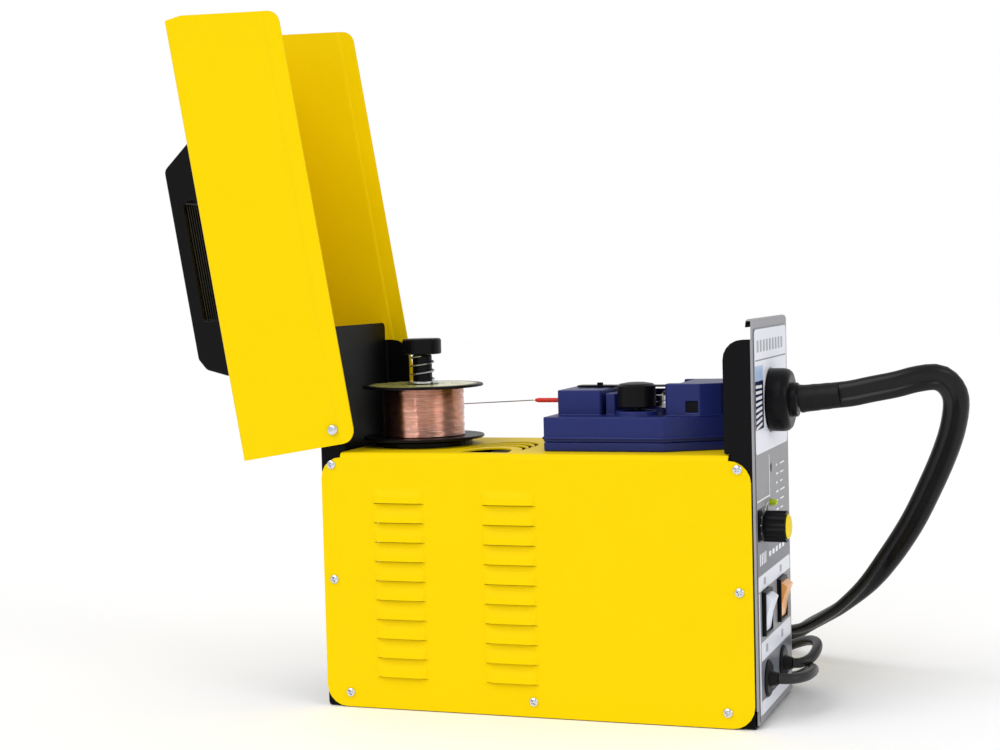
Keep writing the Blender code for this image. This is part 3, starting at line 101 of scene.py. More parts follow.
def surface(name, colour, rough, metal=0.0, mottle=0.05, mottle_scale=35.0, grain=0.02, grain_scale=900.0,
            coat=0.0, specular=0.5):
    """A plain finish with slight unevenness in its colour and gloss and a fine relief."""
    made = bpy.data.materials.new(name)
    made.use_nodes = True
    nodes, links = made.node_tree.nodes, made.node_tree.links
    shader = nodes["Principled BSDF"]
    place = nodes.new("ShaderNodeTexCoord")
    wide = nodes.new("ShaderNodeTexNoise")
    wide.inputs["Scale"].default_value, wide.inputs["Detail"].default_value = mottle_scale, 4.0
    mix = nodes.new("ShaderNodeMix")
    mix.data_type = "RGBA"
    mix.inputs[MIX_A].default_value = (*[c * (1 - mottle) for c in colour], 1.0)
    mix.inputs[MIX_B].default_value = (*[min(c * (1 + mottle), 1.0) for c in colour], 1.0)
    gloss = nodes.new("ShaderNodeMapRange")
    gloss.inputs["To Min"].default_value = rough * (1 - GLOSS_SPREAD)
    gloss.inputs["To Max"].default_value = rough * (1 + GLOSS_SPREAD)
    fine = nodes.new("ShaderNodeTexNoise")
    fine.inputs["Scale"].default_value, fine.inputs["Detail"].default_value = grain_scale, 2.0
    bump = nodes.new("ShaderNodeBump")
    bump.inputs["Strength"].default_value = grain * RELIEF_PER_GRAIN
    bump.inputs["Distance"].default_value = RELIEF_DEPTH
    links.new(place.outputs["Object"], wide.inputs["Vector"])
    links.new(place.outputs["Object"], fine.inputs["Vector"])
    links.new(wide.outputs["Fac"], mix.inputs[0])
    links.new(wide.outputs["Fac"], gloss.inputs["Value"])
    links.new(fine.outputs["Fac"], bump.inputs["Height"])
    links.new(mix.outputs[MIX_OUT], shader.inputs["Base Color"])
    links.new(gloss.outputs["Result"], shader.inputs["Roughness"])
    links.new(bump.outputs["Normal"], shader.inputs["Normal"])
    shader.inputs["Metallic"].default_value = metal
    shader.inputs["Coat Weight"].default_value = coat
    shader.inputs["Coat Roughness"].default_value = COAT_ROUGHNESS
    shader.inputs["Specular IOR Level"].default_value = specular
    return made


FINISHES = {
    "yellow_paint": dict(colour=(0.85, 0.605, 0.0), rough=0.4, mottle=0.012, grain=0.04, grain_scale=1400.0,
                         specular=0.05),
    "black_paint": dict(colour=(0.003, 0.003, 0.004), rough=0.38, mottle=0.2, grain=0.05, specular=0.06),
    "black_plastic": dict(colour=(0.003, 0.003, 0.004), rough=0.32, mottle=0.2, grain=0.08, specular=0.12),
    "grey_plastic": dict(colour=(0.05, 0.05, 0.055), rough=0.5, mottle=0.1, grain=0.06, specular=0.3),
    "blue_plastic": dict(colour=(0.012, 0.020, 0.130), rough=0.34, mottle=0.08, grain=0.12, specular=0.22),
    "yellow_plastic": dict(colour=(0.88, 0.66, 0.02), rough=0.35, mottle=0.03, specular=0.15),
    "white_plastic": dict(colour=(0.78, 0.83, 0.92), rough=0.3, mottle=0.02, specular=0.4),
    "orange_plastic": dict(colour=(0.98, 0.44, 0.13), rough=0.25, mottle=0.05, specular=0.5, coat=0.2),
    "red_plastic": dict(colour=(0.62, 0.02, 0.008), rough=0.35, mottle=0.06, specular=0.3),
    "green_lens": dict(colour=(0.50, 0.66, 0.02), rough=0.2, mottle=0.04, coat=0.3, specular=0.3),
    "dark_lens": dict(colour=(0.012, 0.012, 0.014), rough=0.12, mottle=0.1, coat=0.5),
    "zinc": dict(colour=(0.66, 0.69, 0.76), rough=0.2, metal=1.0, mottle=0.12, grain=0.05,
                 grain_scale=2500.0),
    "steel": dict(colour=(0.42, 0.42, 0.44), rough=0.3, metal=1.0, mottle=0.1, grain=0.05,
                  grain_scale=2500.0),
    "laminated_steel": dict(colour=(0.2, 0.2, 0.22), rough=0.5, metal=1.0, mottle=0.1),
    "copper": dict(colour=(0.74, 0.47, 0.39), rough=0.17, metal=1.0, mottle=0.14, mottle_scale=90.0),
    "brass": dict(colour=(0.70, 0.50, 0.20), rough=0.28, metal=1.0, mottle=0.06),
    "aluminium": dict(colour=(0.6, 0.6, 0.62), rough=0.35, metal=1.0, mottle=0.06),
    "board": dict(colour=(0.02, 0.16, 0.06), rough=0.45, mottle=0.12),
    "rubber": dict(colour=(0.006, 0.006, 0.007), rough=0.4, mottle=0.2, grain=0.1, specular=0.16),
    "panel_print": dict(colour=(0.27, 0.27, 0.285), rough=0.4, mottle=0.06, mottle_scale=120.0,
                        specular=0.25),
    "cable_rubber": dict(colour=(0.005, 0.005, 0.006), rough=0.28, mottle=0.2, grain=0.06, specular=0.22),
    "lead_rubber": dict(colour=(0.016, 0.016, 0.017), rough=0.36, mottle=0.15, grain=0.06, specular=0.35),
    "print_light": dict(colour=(0.80, 0.82, 0.89), rough=0.35, mottle=0.02, specular=0.2),
    "print_white": dict(colour=(0.86, 0.87, 0.90), rough=0.35, mottle=0.02, specular=0.2),
    "print_grey": dict(colour=(0.36, 0.37, 0.41), rough=0.35, mottle=0.04, specular=0.2),
    "print_tint": dict(colour=(0.42, 0.55, 0.78), rough=0.35, mottle=0.04, specular=0.2),
    "print_navy": dict(colour=(0.008, 0.012, 0.055), rough=0.35, mottle=0.06, specular=0.2),
    "print_dark": dict(colour=(0.17, 0.18, 0.21), rough=0.35, mottle=0.05, specular=0.2),
    # print_black is also the painted shade on the plate inside the feeder's window.
    "print_black": dict(colour=(0.004, 0.004, 0.006), rough=0.35, mottle=0.1, specular=0.08),
    "label": dict(colour=(0.74, 0.72, 0.19), rough=0.16, mottle=0.08, mottle_scale=60.0, specular=0.5,
                  coat=0.4),
    "wire": dict(colour=(0.36, 0.31, 0.29), rough=0.3, metal=1.0, mottle=0.1, grain=0.04),
    "label_ink": dict(colour=(0.05, 0.05, 0.02), rough=0.25, mottle=0.1, specular=0.4, coat=0.3),
}
MATERIALS = {name: surface(name, **finish) for name, finish in FINISHES.items()}

PANEL_FACE_X, PANEL_LIP_Z = 0.1759, 0.3055


def two_tone(name, front, rest, ahead_of, above_height):
    """The front colour ahead of a place along X or above a height, in metres, and the rest's elsewhere."""
    made = surface(name, front, 0.4, mottle=0.05, grain=0.03, specular=0.08)
    nodes, links = made.node_tree.nodes, made.node_tree.links
    shader = nodes["Principled BSDF"]
    place = nodes.new("ShaderNodeTexCoord")
    split = nodes.new("ShaderNodeSeparateXYZ")
    links.new(place.outputs["Object"], split.inputs["Vector"])
    ahead, above = (nodes.new("ShaderNodeMath") for _ in range(2))
    for node, axis, limit in ((ahead, "X", ahead_of), (above, "Z", above_height)):
        node.operation = "GREATER_THAN"
        node.inputs[1].default_value = limit
        links.new(split.outputs[axis], node.inputs[0])
    either = nodes.new("ShaderNodeMath")
    either.operation = "MAXIMUM"
    links.new(ahead.outputs[0], either.inputs[0])
    links.new(above.outputs[0], either.inputs[1])
    mix = nodes.new("ShaderNodeMix")
    mix.data_type = "RGBA"
    mix.inputs[MIX_A].default_value = (*rest, 1.0)
    links.new(shader.inputs["Base Color"].links[0].from_socket, mix.inputs[MIX_B])
    links.new(either.outputs[0], mix.inputs[0])
    links.new(mix.outputs[MIX_OUT], shader.inputs["Base Color"])
    return made


MATERIALS["panel_sheet"] = two_tone("panel_sheet", (0.34, 0.34, 0.36), (0.004, 0.004, 0.005), PANEL_FACE_X,
                                    PANEL_LIP_Z)


def add(name, mesh, mat, body, smooth=None):
    """A new visible piece that rides on a body. An edge sharper than smooth degrees stays sharp."""
    obj = bpy.data.objects.new(name, mesh)
    bpy.context.scene.collection.objects.link(obj)
    mesh.materials.clear()
    mesh.materials.append(MATERIALS[mat])
    if smooth:
        mesh.shade_smooth()
        mesh.set_sharp_from_angle(angle=math.radians(smooth))
    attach(obj, body)
    return obj


def mesh_of(name, verts, faces):
    """A mesh whose faces all point outwards."""
    mesh = bpy.data.meshes.new(name)
    mesh.from_pydata([tuple(p) for p in verts], [], faces)
    mesh.validate()
    bm = bmesh.new()
    bm.from_mesh(mesh)
    bmesh.ops.recalc_face_normals(bm, faces=bm.faces)
    bm.to_mesh(mesh)
    bm.free()
    return mesh


# ---------------------------------------------------------------- cords

# Routes and tails are points in millimetres. A coil is its centre, first angle, direction, marks and sweep,
# and a mark is an angle along the turning, a radius and a height.
CURVE_STEPS = 16
COIL_STEP = 12
LEAD_SPACING, TORCH_SPACING = 5.0, 6.0
SHARP_ANGLE = 50     # degrees


def smooth_path(points, spacing):
    """Evenly spaced points along a smooth curve through the given ones, all in millimetres."""
    given = np.array(points, float)
    ends = np.vstack([2 * given[0] - given[1], given, 2 * given[-1] - given[-2]])
    fine = []
    for p0, p1, p2, p3 in zip(ends, ends[1:], ends[2:], ends[3:]):
        t = np.linspace(0, 1, CURVE_STEPS, endpoint=False)[:, None]
        fine.append(0.5 * (2 * p1 + (p2 - p0) * t + (2 * p0 - 5 * p1 + 4 * p2 - p3) * t ** 2
                           + (3 * p1 - p0 - 3 * p2 + p3) * t ** 3))
    fine = np.vstack(fine + [given[-1:]])
    run = np.concatenate([[0], np.cumsum(np.linalg.norm(np.diff(fine, axis=0), axis=1))])
    at = np.linspace(0, run[-1], max(2, round(run[-1] / spacing) + 1))
    return np.stack([np.interp(at, run, fine[:, k]) for k in range(3)], axis=1), run[-1]


def ease(t):
    """0 below 0, 1 above 1 and a smooth rise between."""
    t = min(max(t, 0.0), 1.0)
    return t * t * (3 - 2 * t)


def turns(centre, start, direction, steps, sweep):
    """Points of a coil. steps are (angle, radius, height) marks, and radius and height ease between them."""
    points = []
    count = int(sweep / COIL_STEP)
    for k in range(count + 1):
        angle = sweep * k / count
        for (a0, r0, z0), (a1, r1, z1) in zip(steps, steps[1:]):
            if a0 <= angle <= a1:
                s = ease((angle - a0) / (a1 - a0))
                radius, height = r0 + (r1 - r0) * s, z0 + (z1 - z0) * s
                break
        phi = math.radians(start + direction * angle)
        points.append((centre[0] + radius * math.cos(phi), centre[1] + radius * math.sin(phi), height))
    return points


def swept(name, points, section, wide_axis, scale=lambda i: 1.0):
    """A tube of any section along points in millimetres. wide_axis gives its first axis at a point."""
    points = np.array(points, float)
    tangents = np.gradient(points, axis=0)
    tangents /= np.linalg.norm(tangents, axis=1)[:, None]
    verts, faces, count = [], [], len(section)
    for i, (p, t) in enumerate(zip(points, tangents)):
        w = np.array(wide_axis(i, p, t), float)
        w -= t * w.dot(t)
        w /= np.linalg.norm(w)
        n = np.cross(t, w)
        verts += [tuple((p + (w * a + n * b) * scale(i)) * MM) for a, b in section]
        if i:
            first = (i - 1) * count
            for k in range(count):
                a, b = first + k, first + (k + 1) % count
                faces.append((a, b, b + count, a + count))
    faces.append(tuple(range(count))[::-1])
    faces.append(tuple(range(len(verts) - count, len(verts))))
    return mesh_of(name, verts, faces)


def round_section(radius, count=14):
    """A regular polygon's corners."""
    return [(radius * math.cos(2 * math.pi * k / count), radius * math.sin(2 * math.pi * k / count))
            for k in range(count)]


def lead(name, route, coil, tail, radius):
    """A round lead along its route, its coil and its tail: the mesh, its path and its length."""
    path, length = smooth_path(list(route) + list(coil) + list(tail), LEAD_SPACING)
    frames = []

    def carried(i, p, t):
        """Carries the section's axis along without twist."""
        w = np.array((0.0, 0.0, 1.0)) if i == 0 else frames[-1]
        w = w - t * w.dot(t)
        frames.append(w / np.linalg.norm(w))
        return frames[-1]

    mesh = swept(name, path, round_section(radius), carried)
    return mesh, path, length


def twin_section():
    """Two joined round cables, one thicker than the other, 20 mm across."""
    points = []
    for centre, radius, angles in (
        (4.2, 5.8, range(-140, 141, 20)), (-5.6, 4.4, range(45, 316, 20)),
    ):
        points += [(centre + radius * math.cos(math.radians(a)), radius * math.sin(math.radians(a)))
                   for a in angles]
    return points


LEAD_R = 4.1
TORCH_ROUTE = (
    (231.5, -5, 246.63), (236, -5, 247.08), (244, -5, 248.4), (254, -5, 250.6), (273, -4, 254.2),
    (288, -1, 258), (302.5, 5, 259), (311, 13, 252.4), (314.5, 23, 240), (310.3, 39, 218.5),
    (301.4, 55, 195), (288, 73, 167), (272.1, 91, 137.2), (253.1, 110, 108.5), (230.8, 129, 80),
    (206, 149, 57), (186.6, 166, 42.8), (168.5, 183, 31.2), (154.5, 198, 23), (143, 214, 16),
    (135.5, 232, 11.5),
)
TORCH_MARKS = (
    (0, 104.8, 10.7), (280, 104.8, 10.7), (345, 94.2, 10.7), (560, 94.2, 10.7), (625, 83.6, 10.7),
    (660, 83.6, 10.7), (745, 85.0, 31.2),
)
TORCH_COIL = ((25.0, 230.0), 18.0, 1.0, TORCH_MARKS, 745.0)
TORCH_TAIL = (
    (70, 306.5, 31.4), (52, 321, 31.4), (33, 333, 31.2), (14, 342.5, 30), (-2, 348.6, 22.5),
    (-12, 351.3, 18.4), (-19.6, 351.6, 17.4),
)
BOOT_ENDS, BOOT_R = ((200.9, -5.0, 243.55), (231.2, -5.0, 246.6)), (10.6, 9.9)
BOOT_STEPS, BOOT_SIDES = 28, 40
LIP_HEIGHT, LIP_AT = 0.35, 0.04
WRINKLE_HEIGHT, WRINKLE_RATE = 0.10, 21.0
MAINS_ROUTE = (
    (186.3, -34, 32), (189, -34, 32), (194.6, -32.4, 32), (200, -27.5, 32), (204.4, -17.5, 31.9),
    (205.8, -3, 31.5), (204.4, 12, 30.4), (200.6, 28, 27.6), (195.8, 45, 23), (188.5, 62, 16.5),
    (177, 78, 9.5), (158, 87.5, 5.4), (128, 91, 4.5), (90, 91.5, 4.3), (45, 91.5, 4.3), (0, 91.5, 4.3),
    (-45, 91.5, 4.3), (-90, 92.5, 4.3), (-119, 93.3, 4.3), (-136, 93.6, 4.3),
)
LEAD_MARKS = (
    (0, 51.4, 4.4), (300, 51.4, 4.4), (360, 42.6, 4.4), (600, 42.6, 4.4), (660, 42.6, 12.9),
    (900, 42.6, 12.9), (960, 51.4, 12.9), (1200, 51.4, 12.9), (1260, 51.4, 21.3), (1600, 51.4, 21.3),
)
MAINS_COIL = ((-150.0, 145.0), 270.0, -1.0, LEAD_MARKS, 1520.0)
MAINS_TAIL = ((-202.6, 150, 20.6), (-204, 160, 18.4), (-205.6, 169, 16.8), (-206, 175.8, 16.4))
EARTH_ROUTE = (
    (186.3, 24, 32), (189, 24, 32), (194, 26, 32.8), (198.6, 31.5, 34.8), (200.8, 43, 38.2),
    (199.8, 57, 40.6), (195, 70, 41), (186.4, 82, 38.6), (174, 93, 33), (156, 101.5, 24.5),
    (134, 106, 15.5), (108, 107, 8.5), (80, 106.5, 5), (50, 106, 4.3), (18, 105.5, 4.3),
    (-12, 105.5, 4.3), (-42, 108.5, 4.3), (-65, 120, 4.3), (-80, 141, 4.3), (-89, 168, 4.3),
    (-94.5, 200, 4.3), (-97, 240.3, 4.3), (-96.8, 258, 4.3),
)
EARTH_COIL = ((-148.0, 272.0), 0.0, 1.0, LEAD_MARKS, 1520.0)
EARTH_TAIL = ((-160, 322.6, 20.2), (-175, 320.5, 17), (-188, 317.6, 13.6), (-199.2, 316.5, 12.4))


def torch_boot():
    """The smooth tapered sleeve between the outlet's nut and the cable."""
    start, end = (np.array(p) for p in BOOT_ENDS)
    points = [start + (end - start) * k / BOOT_STEPS for k in range(BOOT_STEPS + 1)]

    def radius(i):
        share = i / BOOT_STEPS
        lip = LIP_HEIGHT * math.exp(-((share - LIP_AT) / LIP_AT) ** 2)
        wrinkle = WRINKLE_HEIGHT * math.sin(WRINKLE_RATE * share) * math.sin(math.pi * share)
        return BOOT_R[0] + (BOOT_R[1] - BOOT_R[0]) * share + lip + wrinkle

    circle = round_section(1.0, BOOT_SIDES)
    mesh = swept("torch_boot", points, circle, lambda i, p, t: (0.0, 0.0, 1.0), radius)
    boot = add("torch_boot", mesh, "rubber", "case", SHARP_ANGLE)
    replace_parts(boot, "torch_sleeve")
    return boot


TURN_FROM, TURN_RUN = 215.0, 185.0     # where the cable starts to turn away, and over what length
EDGE_FROM, EDGE_RUN = 400.0, 80.0      # where it starts to stand on edge, and over what length


def make_torch_cable():
    """The flat twin cable, which turns from broad side to the front to standing on edge along its run."""
    path, length = smooth_path(list(TORCH_ROUTE) + turns(*TORCH_COIL) + list(TORCH_TAIL), TORCH_SPACING)
    run = np.concatenate([[0], np.cumsum(np.linalg.norm(np.diff(path, axis=0), axis=1))])
    eye = np.array(CAMERA.location) / MM

    def wide(i, p, t):
        """Broad side to the front at the arch, then turned away from it, then on edge on the floor."""
        away = (p - eye) / np.linalg.norm(p - eye)
        facing = np.cross(t, away)
        facing /= np.linalg.norm(facing)
        turned, on_edge = ease((run[i] - TURN_FROM) / TURN_RUN), ease((run[i] - EDGE_FROM) / EDGE_RUN)
        depth = away - t * away.dot(t)
        depth /= np.linalg.norm(depth)
        down = np.array((0.0, 0.0, -1.0))
        down = down - t * down.dot(t)
        first = facing * (1 - turned) + depth * turned
        return first * (1 - on_edge) + down * on_edge

    mesh = swept("torch_cable_twin", path, twin_section(), wide)
    cable = add("torch_cable_twin", mesh, "cable_rubber", "case", SHARP_ANGLE)
    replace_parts(cable, "torch_cable", "torch_cable_coil")
    torch_boot()


def make_leads():
    """The cords of the mains lead and the earth lead; their plug and clamp are left as they are."""
    for name, route, coil, tail, nodes, end, on_it in (
        ("mains_lead_cord", MAINS_ROUTE, MAINS_COIL, MAINS_TAIL, ("mains_lead", "mains_lead_coil"), "plug",
         ["mains_plug"]),
        ("earth_lead_cord", EARTH_ROUTE, EARTH_COIL, EARTH_TAIL, ("earth_lead", "earth_lead_coil"), "fitting",
         ["clamp_fixed_jaw", "clamp_moving_jaw"]),
    ):
        mesh, path, length = lead(name, route, turns(*coil), tail, LEAD_R)
        cord = add(name, mesh, "lead_rubber", "case", SHARP_ANGLE)
        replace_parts(cord, *nodes)


make_torch_cable()
make_leads()


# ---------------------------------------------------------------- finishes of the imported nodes

for part in frame["record"]["subparts"]:
    obj = NODES[part["node"]]
    obj.data.materials.clear()
    obj.data.materials.append(MATERIALS[part["material_slot"]])
NODES["front_panel"].data.materials[0] = MATERIALS["panel_sheet"]
NODES["fault_led"].data.materials[0] = MATERIALS["dark_lens"]
NODES["welding_wire"].data.materials[0] = MATERIALS["wire"]


WELD_GAP = 0.00002
FLAT_ANGLE, EDGE_ANGLE, EDGE_SEGMENTS = 1.0, 35.0, 2
UNCLAMPED = ("feeder_cover", "feeder_base", "carry_handle")     # their short edges would hold back the rest


def soften(node, width):
    """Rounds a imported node's sharp edges by a width in millimetres. Each flat face is made whole first."""
    obj = NODES[node]
    weld = obj.modifiers.new("weld", "WELD")
    weld.merge_threshold = WELD_GAP
    merge = obj.modifiers.new("merge", "DECIMATE")
    merge.decimate_type, merge.angle_limit = "DISSOLVE", math.radians(FLAT_ANGLE)
    bevel = obj.modifiers.new("bevel", "BEVEL")
    bevel.limit_method, bevel.angle_limit = "ANGLE", math.radians(EDGE_ANGLE)
    bevel.width, bevel.segments = width * MM, EDGE_SEGMENTS
    bevel.use_clamp_overlap = node not in UNCLAMPED
    normals = obj.modifiers.new("normals", "WEIGHTED_NORMAL")
    normals.keep_sharp = False


SOFT_EDGES = {
    "feeder_cover": 0.9, "feeder_base": 0.7, "carry_handle": 1.8, "heat_rocker": 0.7, "power_rocker": 0.7,
    "heat_switch_housing": 0.6, "power_switch_housing": 0.6, "mains_plug": 0.8, "torch_handle": 0.8,
    "pressure_arm": 0.6, "spool_reel": 0.4, "torch_collar": 0.5, "speed_knob_cap": 0.5,
}
for node, width in SOFT_EDGES.items():
    soften(node, width)


# ---------------------------------------------------------------- outlines and plates

CORNER_STEPS = 5


def ring_points(centre, radius, count=48, start=0.0, sweep=360.0):
    """Points on a circle, or on an arc with both its ends."""
    steps = [math.radians(start + sweep * k / count) for k in range(count + (sweep < 360.0))]
    return [(centre[0] + radius * math.cos(a), centre[1] + radius * math.sin(a)) for a in steps]


def rect(a0, b0, a1, b1, corner=0.0):
    """A rectangle's outline with rounded corners."""
    if not corner:
        return [(a0, b0), (a1, b0), (a1, b1), (a0, b1)]
    points = []
    for centre, start in (
        ((a1 - corner, b0 + corner), 270), ((a1 - corner, b1 - corner), 0), ((a0 + corner, b1 - corner), 90),
        ((a0 + corner, b0 + corner), 180),
    ):
        points += ring_points(centre, corner, CORNER_STEPS, start, 90.0)
    return points


def band(path, width):
    """The outline of a stroke along a path."""
    line = np.array(path, float)
    along = np.gradient(line, axis=0)
    along /= np.linalg.norm(along, axis=1)[:, None]
    side = np.stack([-along[:, 1], along[:, 0]], axis=1) * width / 2
    return [tuple(p) for p in np.vstack([line + side, (line - side)[::-1]])]


# Turns of a plate: outline along Y and Z facing +X, along X and Y facing +Z, and along X and Z facing -Y.
UPRIGHT = Matrix(((0, 0, 1, 0), (1, 0, 0, 0), (0, 1, 0, 0), (0, 0, 0, 1)))
LEVEL = Matrix.Identity(4)
FRONTAL = Matrix(((1, 0, 0, 0), (0, 0, -1, 0), (0, 1, 0, 0), (0, 0, 0, 1)))
POINT_GAP = 1e-6


def plates(name, outlines, height, thick, turn, mat, body):
    """Thin plates of one thickness from closed outlines; an outline inside another is a hole in it."""
    curve = bpy.data.curves.new(name, "CURVE")
    curve.dimensions, curve.fill_mode, curve.extrude = "2D", "BOTH", thick * MM / 2
    for outline in outlines:
        spline = curve.splines.new("POLY")
        spline.points.add(len(outline) - 1)
        for point, (a, b) in zip(spline.points, outline):
            point.co = (a * MM, b * MM, 0.0, 1.0)
        spline.use_cyclic_u = True
    shape = bpy.data.objects.new(name, curve)
    bpy.context.scene.collection.objects.link(shape)
    bpy.context.view_layer.update()
    mesh = bpy.data.meshes.new_from_object(shape.evaluated_get(bpy.context.evaluated_depsgraph_get()))
    bpy.data.objects.remove(shape)
    mesh.transform(turn @ Matrix.Translation((0, 0, (height + thick / 2) * MM)))
    bm = bmesh.new()
    bm.from_mesh(mesh)
    bmesh.ops.remove_doubles(bm, verts=bm.verts, dist=POINT_GAP)
    bm.to_mesh(mesh)
    bm.free()
    return add(name, mesh, mat, body, None)


# ---------------------------------------------------------------- front print

# Outlines on the panel are (y, z) in millimetres. Each level of print lies on the one below it.
FILM_X, FILM, FILM_GAP = 177.72, 0.06, 0.01
LEFT, RIGHT = -62.6, 59.6
COLLAR_CENTRE, COLLAR_HOLE = (-5.0, 243.0), 24.9
DIAL_CENTRE, DIAL_HOLE = (-37.0, 149.2), 11.9
GLAND_CENTRES, GLAND_HOLE = ((-34.0, 32.0), (24.0, 32.0)), 14.6
TICKS, FIRST_TICK, TICK_STEP = 11, 225.0, 27.0
TICK_FROM, TICK_TO = 12.6, 15.2
TICK_MIDDLE, TICK_REACH = 152.0, 12.0


def print_layer(name, outlines, level, mat):
    """Plates of ink, one film thick, at a level above the panel's face."""
    plates(name, outlines, FILM_X + level * (FILM + FILM_GAP), FILM, UPRIGHT, mat, "case")


def stripes():
    """Slanting stripes, each of which rises half a millimetre more than the one above it."""
    outlines = []
    for k in range(8):
        z, rise = 254.9 - 4.5 * k, -0.6 + 0.5 * k
        outlines.append([(-60.4, z), (-38.2, z + rise), (-38.2, z + rise + 2.3), (-60.4, z + 2.3)])
    return outlines


def dial_ticks():
    """Ticks round the dial, long and short in turn, only where the black field lies behind them."""
    ticks = []
    for k in range(TICKS):
        angle = math.radians(FIRST_TICK - TICK_STEP * k)
        c, s = math.cos(angle), math.sin(angle)
        ends = [(DIAL_CENTRE[0] + r * c, DIAL_CENTRE[1] + r * s) for r in (TICK_FROM, TICK_TO - (k % 2))]
        if abs(ends[1][1] - TICK_MIDDLE) < TICK_REACH:
            ticks.append(band(ends, 0.7))
    return ticks


def panel_marks():
    """The corner lines and the arc by the dial, its ticks, and bars in place of words and numbers."""
    marks = [
        rect(-16.6, 168.5, -14.6, 201.5), rect(LEFT, 169.6, -16.6, 170.8),
        band([(-16 - 30 * math.sin(a), 140.0 + 26 * math.cos(a)) for a in np.linspace(0.15, 1.0, 9)], 1.0),
    ]
    marks += dial_ticks()
    for k in range(6):
        marks.append(rect(10.0, 190.0 - 7 * k, 16.0 + 3 * (k % 2), 191.5 - 7 * k))
        marks.append(rect(26.0, 190.0 - 7 * k, 44.0 - 4 * (k % 3), 191.2 - 7 * k))
    for k in range(5):
        marks.append(rect(-22.0 + 13 * k, 123.5, -14.0 + 13 * k, 127.5, 0.8))
    for k in range(4):
        marks.append(rect(-56.0 + 6.5 * k, 121.0, -52.5 + 6.5 * k, 130.0, 0.8))
    return marks


def front_print():
    """The panel's printed areas, bands and marks."""
    print_layer("print_light_areas", [
        rect(LEFT, 205.3, RIGHT, 298.8, 4.0), ring_points(COLLAR_CENTRE, COLLAR_HOLE, 64),
        rect(LEFT, 102.2, RIGHT, 113.6, 1.5),
        rect(-56.0, 49.0, RIGHT, 63.0, 1.5),
        rect(LEFT, 9.0, -58.5, 101.4, 1.5),
        rect(-57.5, 8.6, RIGHT, 19.0, 1.5),
    ], 0, "print_light")
    print_layer("print_dial_field", [rect(LEFT, 114.4, RIGHT, 139.3, 1.0)], 0, "print_dark")
    print_layer("print_dial_ring", [
        rect(LEFT, 139.9, -22.5, 164.2, 2.0), ring_points(DIAL_CENTRE, DIAL_HOLE, 48),
    ], 0, "print_black")
    print_layer("print_tint", [rect(LEFT, 260.2, -34.0, 271.5)], 1, "print_tint")
    print_layer("print_navy_block", [rect(LEFT, 223.6, -32.6, 260.0)], 1, "print_navy")
    print_layer("print_stripes", stripes(), 2, "print_white")
    bars = [rect(-54 + 11.5 * k, 281.5, -47.5 + 11.5 * k, 290.5, 1.0) for k in range(9)]
    print_layer("print_head_bars", bars, 1, "print_grey")
    print_layer("print_thin_line", [rect(-60.0, 275.0, 57.0, 276.0)], 1, "print_dark")
    print_layer("print_marks", panel_marks(), 1, "print_white")
    print_layer("print_symbols", [
        rect(-44.0, 105.2, -36.0, 110.6, 1.0), rect(18.0, 105.2, 26.0, 110.6, 1.0),
        rect(-40.0, 53.0, -32.0, 59.0, 1.0), rect(20.0, 53.0, 28.0, 59.0, 1.0),
    ], 1, "print_grey")
    holes = [ring_points(centre, GLAND_HOLE, 32) for centre in GLAND_CENTRES]
    print_layer("print_gland_field", [rect(-57.5, 19.8, RIGHT, 48.0, 1.0)] + holes, 0, "print_dark")


front_print()


# ---------------------------------------------------------------- screws

HEAD_RINGS, HEAD_SPOKES = 7, 28
DOME_END = 1.45                        # the dome's last ring, in radians above its rim
RIM = 0.25                             # the rim's height as a share of the head's
CROSS_REACH, CROSS_HALF = 0.68, 0.16   # shares of the head's radius
CROSS_TAPER = 0.55                     # the recess's floor as a share of its mouth
CROSS_FLOOR, CROSS_TOP = 0.25, 1.2     # shares of the head's height


def screw_head(radius, height):
    """A domed head with a cross recess, its seat at z = 0 and facing +Z, in millimetres."""
    spokes = HEAD_SPOKES
    verts, faces = [(0.0, 0.0, 0.0)], []
    profile = [(radius, 0.0)]
    for a in np.linspace(0, DOME_END, HEAD_RINGS):
        profile.append((radius * math.cos(a), height * (RIM + (1 - RIM) * math.sin(a))))
    for r, z in profile:
        verts += [(r * math.cos(2 * math.pi * k / spokes), r * math.sin(2 * math.pi * k / spokes), z)
                  for k in range(spokes)]
    top = len(verts)
    verts.append((0.0, 0.0, height))
    for k in range(spokes):
        n = (k + 1) % spokes
        faces.append((0, 1 + n, 1 + k))
        for j in range(len(profile) - 1):
            a = 1 + j * spokes
            faces.append((a + k, a + n, a + spokes + n, a + spokes + k))
        a = 1 + (len(profile) - 1) * spokes
        faces.append((a + k, a + n, top))
    head = bpy.data.objects.new("head", mesh_of("head", [np.array(v) * MM for v in verts], faces))
    bpy.context.scene.collection.objects.link(head)
    arm, half = radius * CROSS_REACH, radius * CROSS_HALF
    cross = [(half, half), (arm, half), (arm, -half), (half, -half), (half, -arm), (-half, -arm),
             (-half, -half), (-arm, -half), (-arm, half), (-half, half), (-half, arm), (half, arm)]
    deep, count = height * CROSS_FLOOR, len(cross)
    verts = [(a * CROSS_TAPER, b * CROSS_TAPER, deep) for a, b in cross]
    verts += [(a, b, height * CROSS_TOP) for a, b in cross]
    faces = [tuple(range(count)), tuple(range(count, 2 * count))]
    faces += [(k, (k + 1) % count, count + (k + 1) % count, count + k) for k in range(count)]
    cutter = bpy.data.objects.new("cross", mesh_of("cross", [np.array(v) * MM for v in verts], faces))
    bpy.context.scene.collection.objects.link(cutter)
    cut = head.modifiers.new("recess", "BOOLEAN")
    cut.operation, cut.object = "DIFFERENCE", cutter
    bpy.context.view_layer.update()
    mesh = bpy.data.meshes.new_from_object(head.evaluated_get(bpy.context.evaluated_depsgraph_get()))
    for obj in (head, cutter):
        bpy.data.objects.remove(obj)
    return mesh


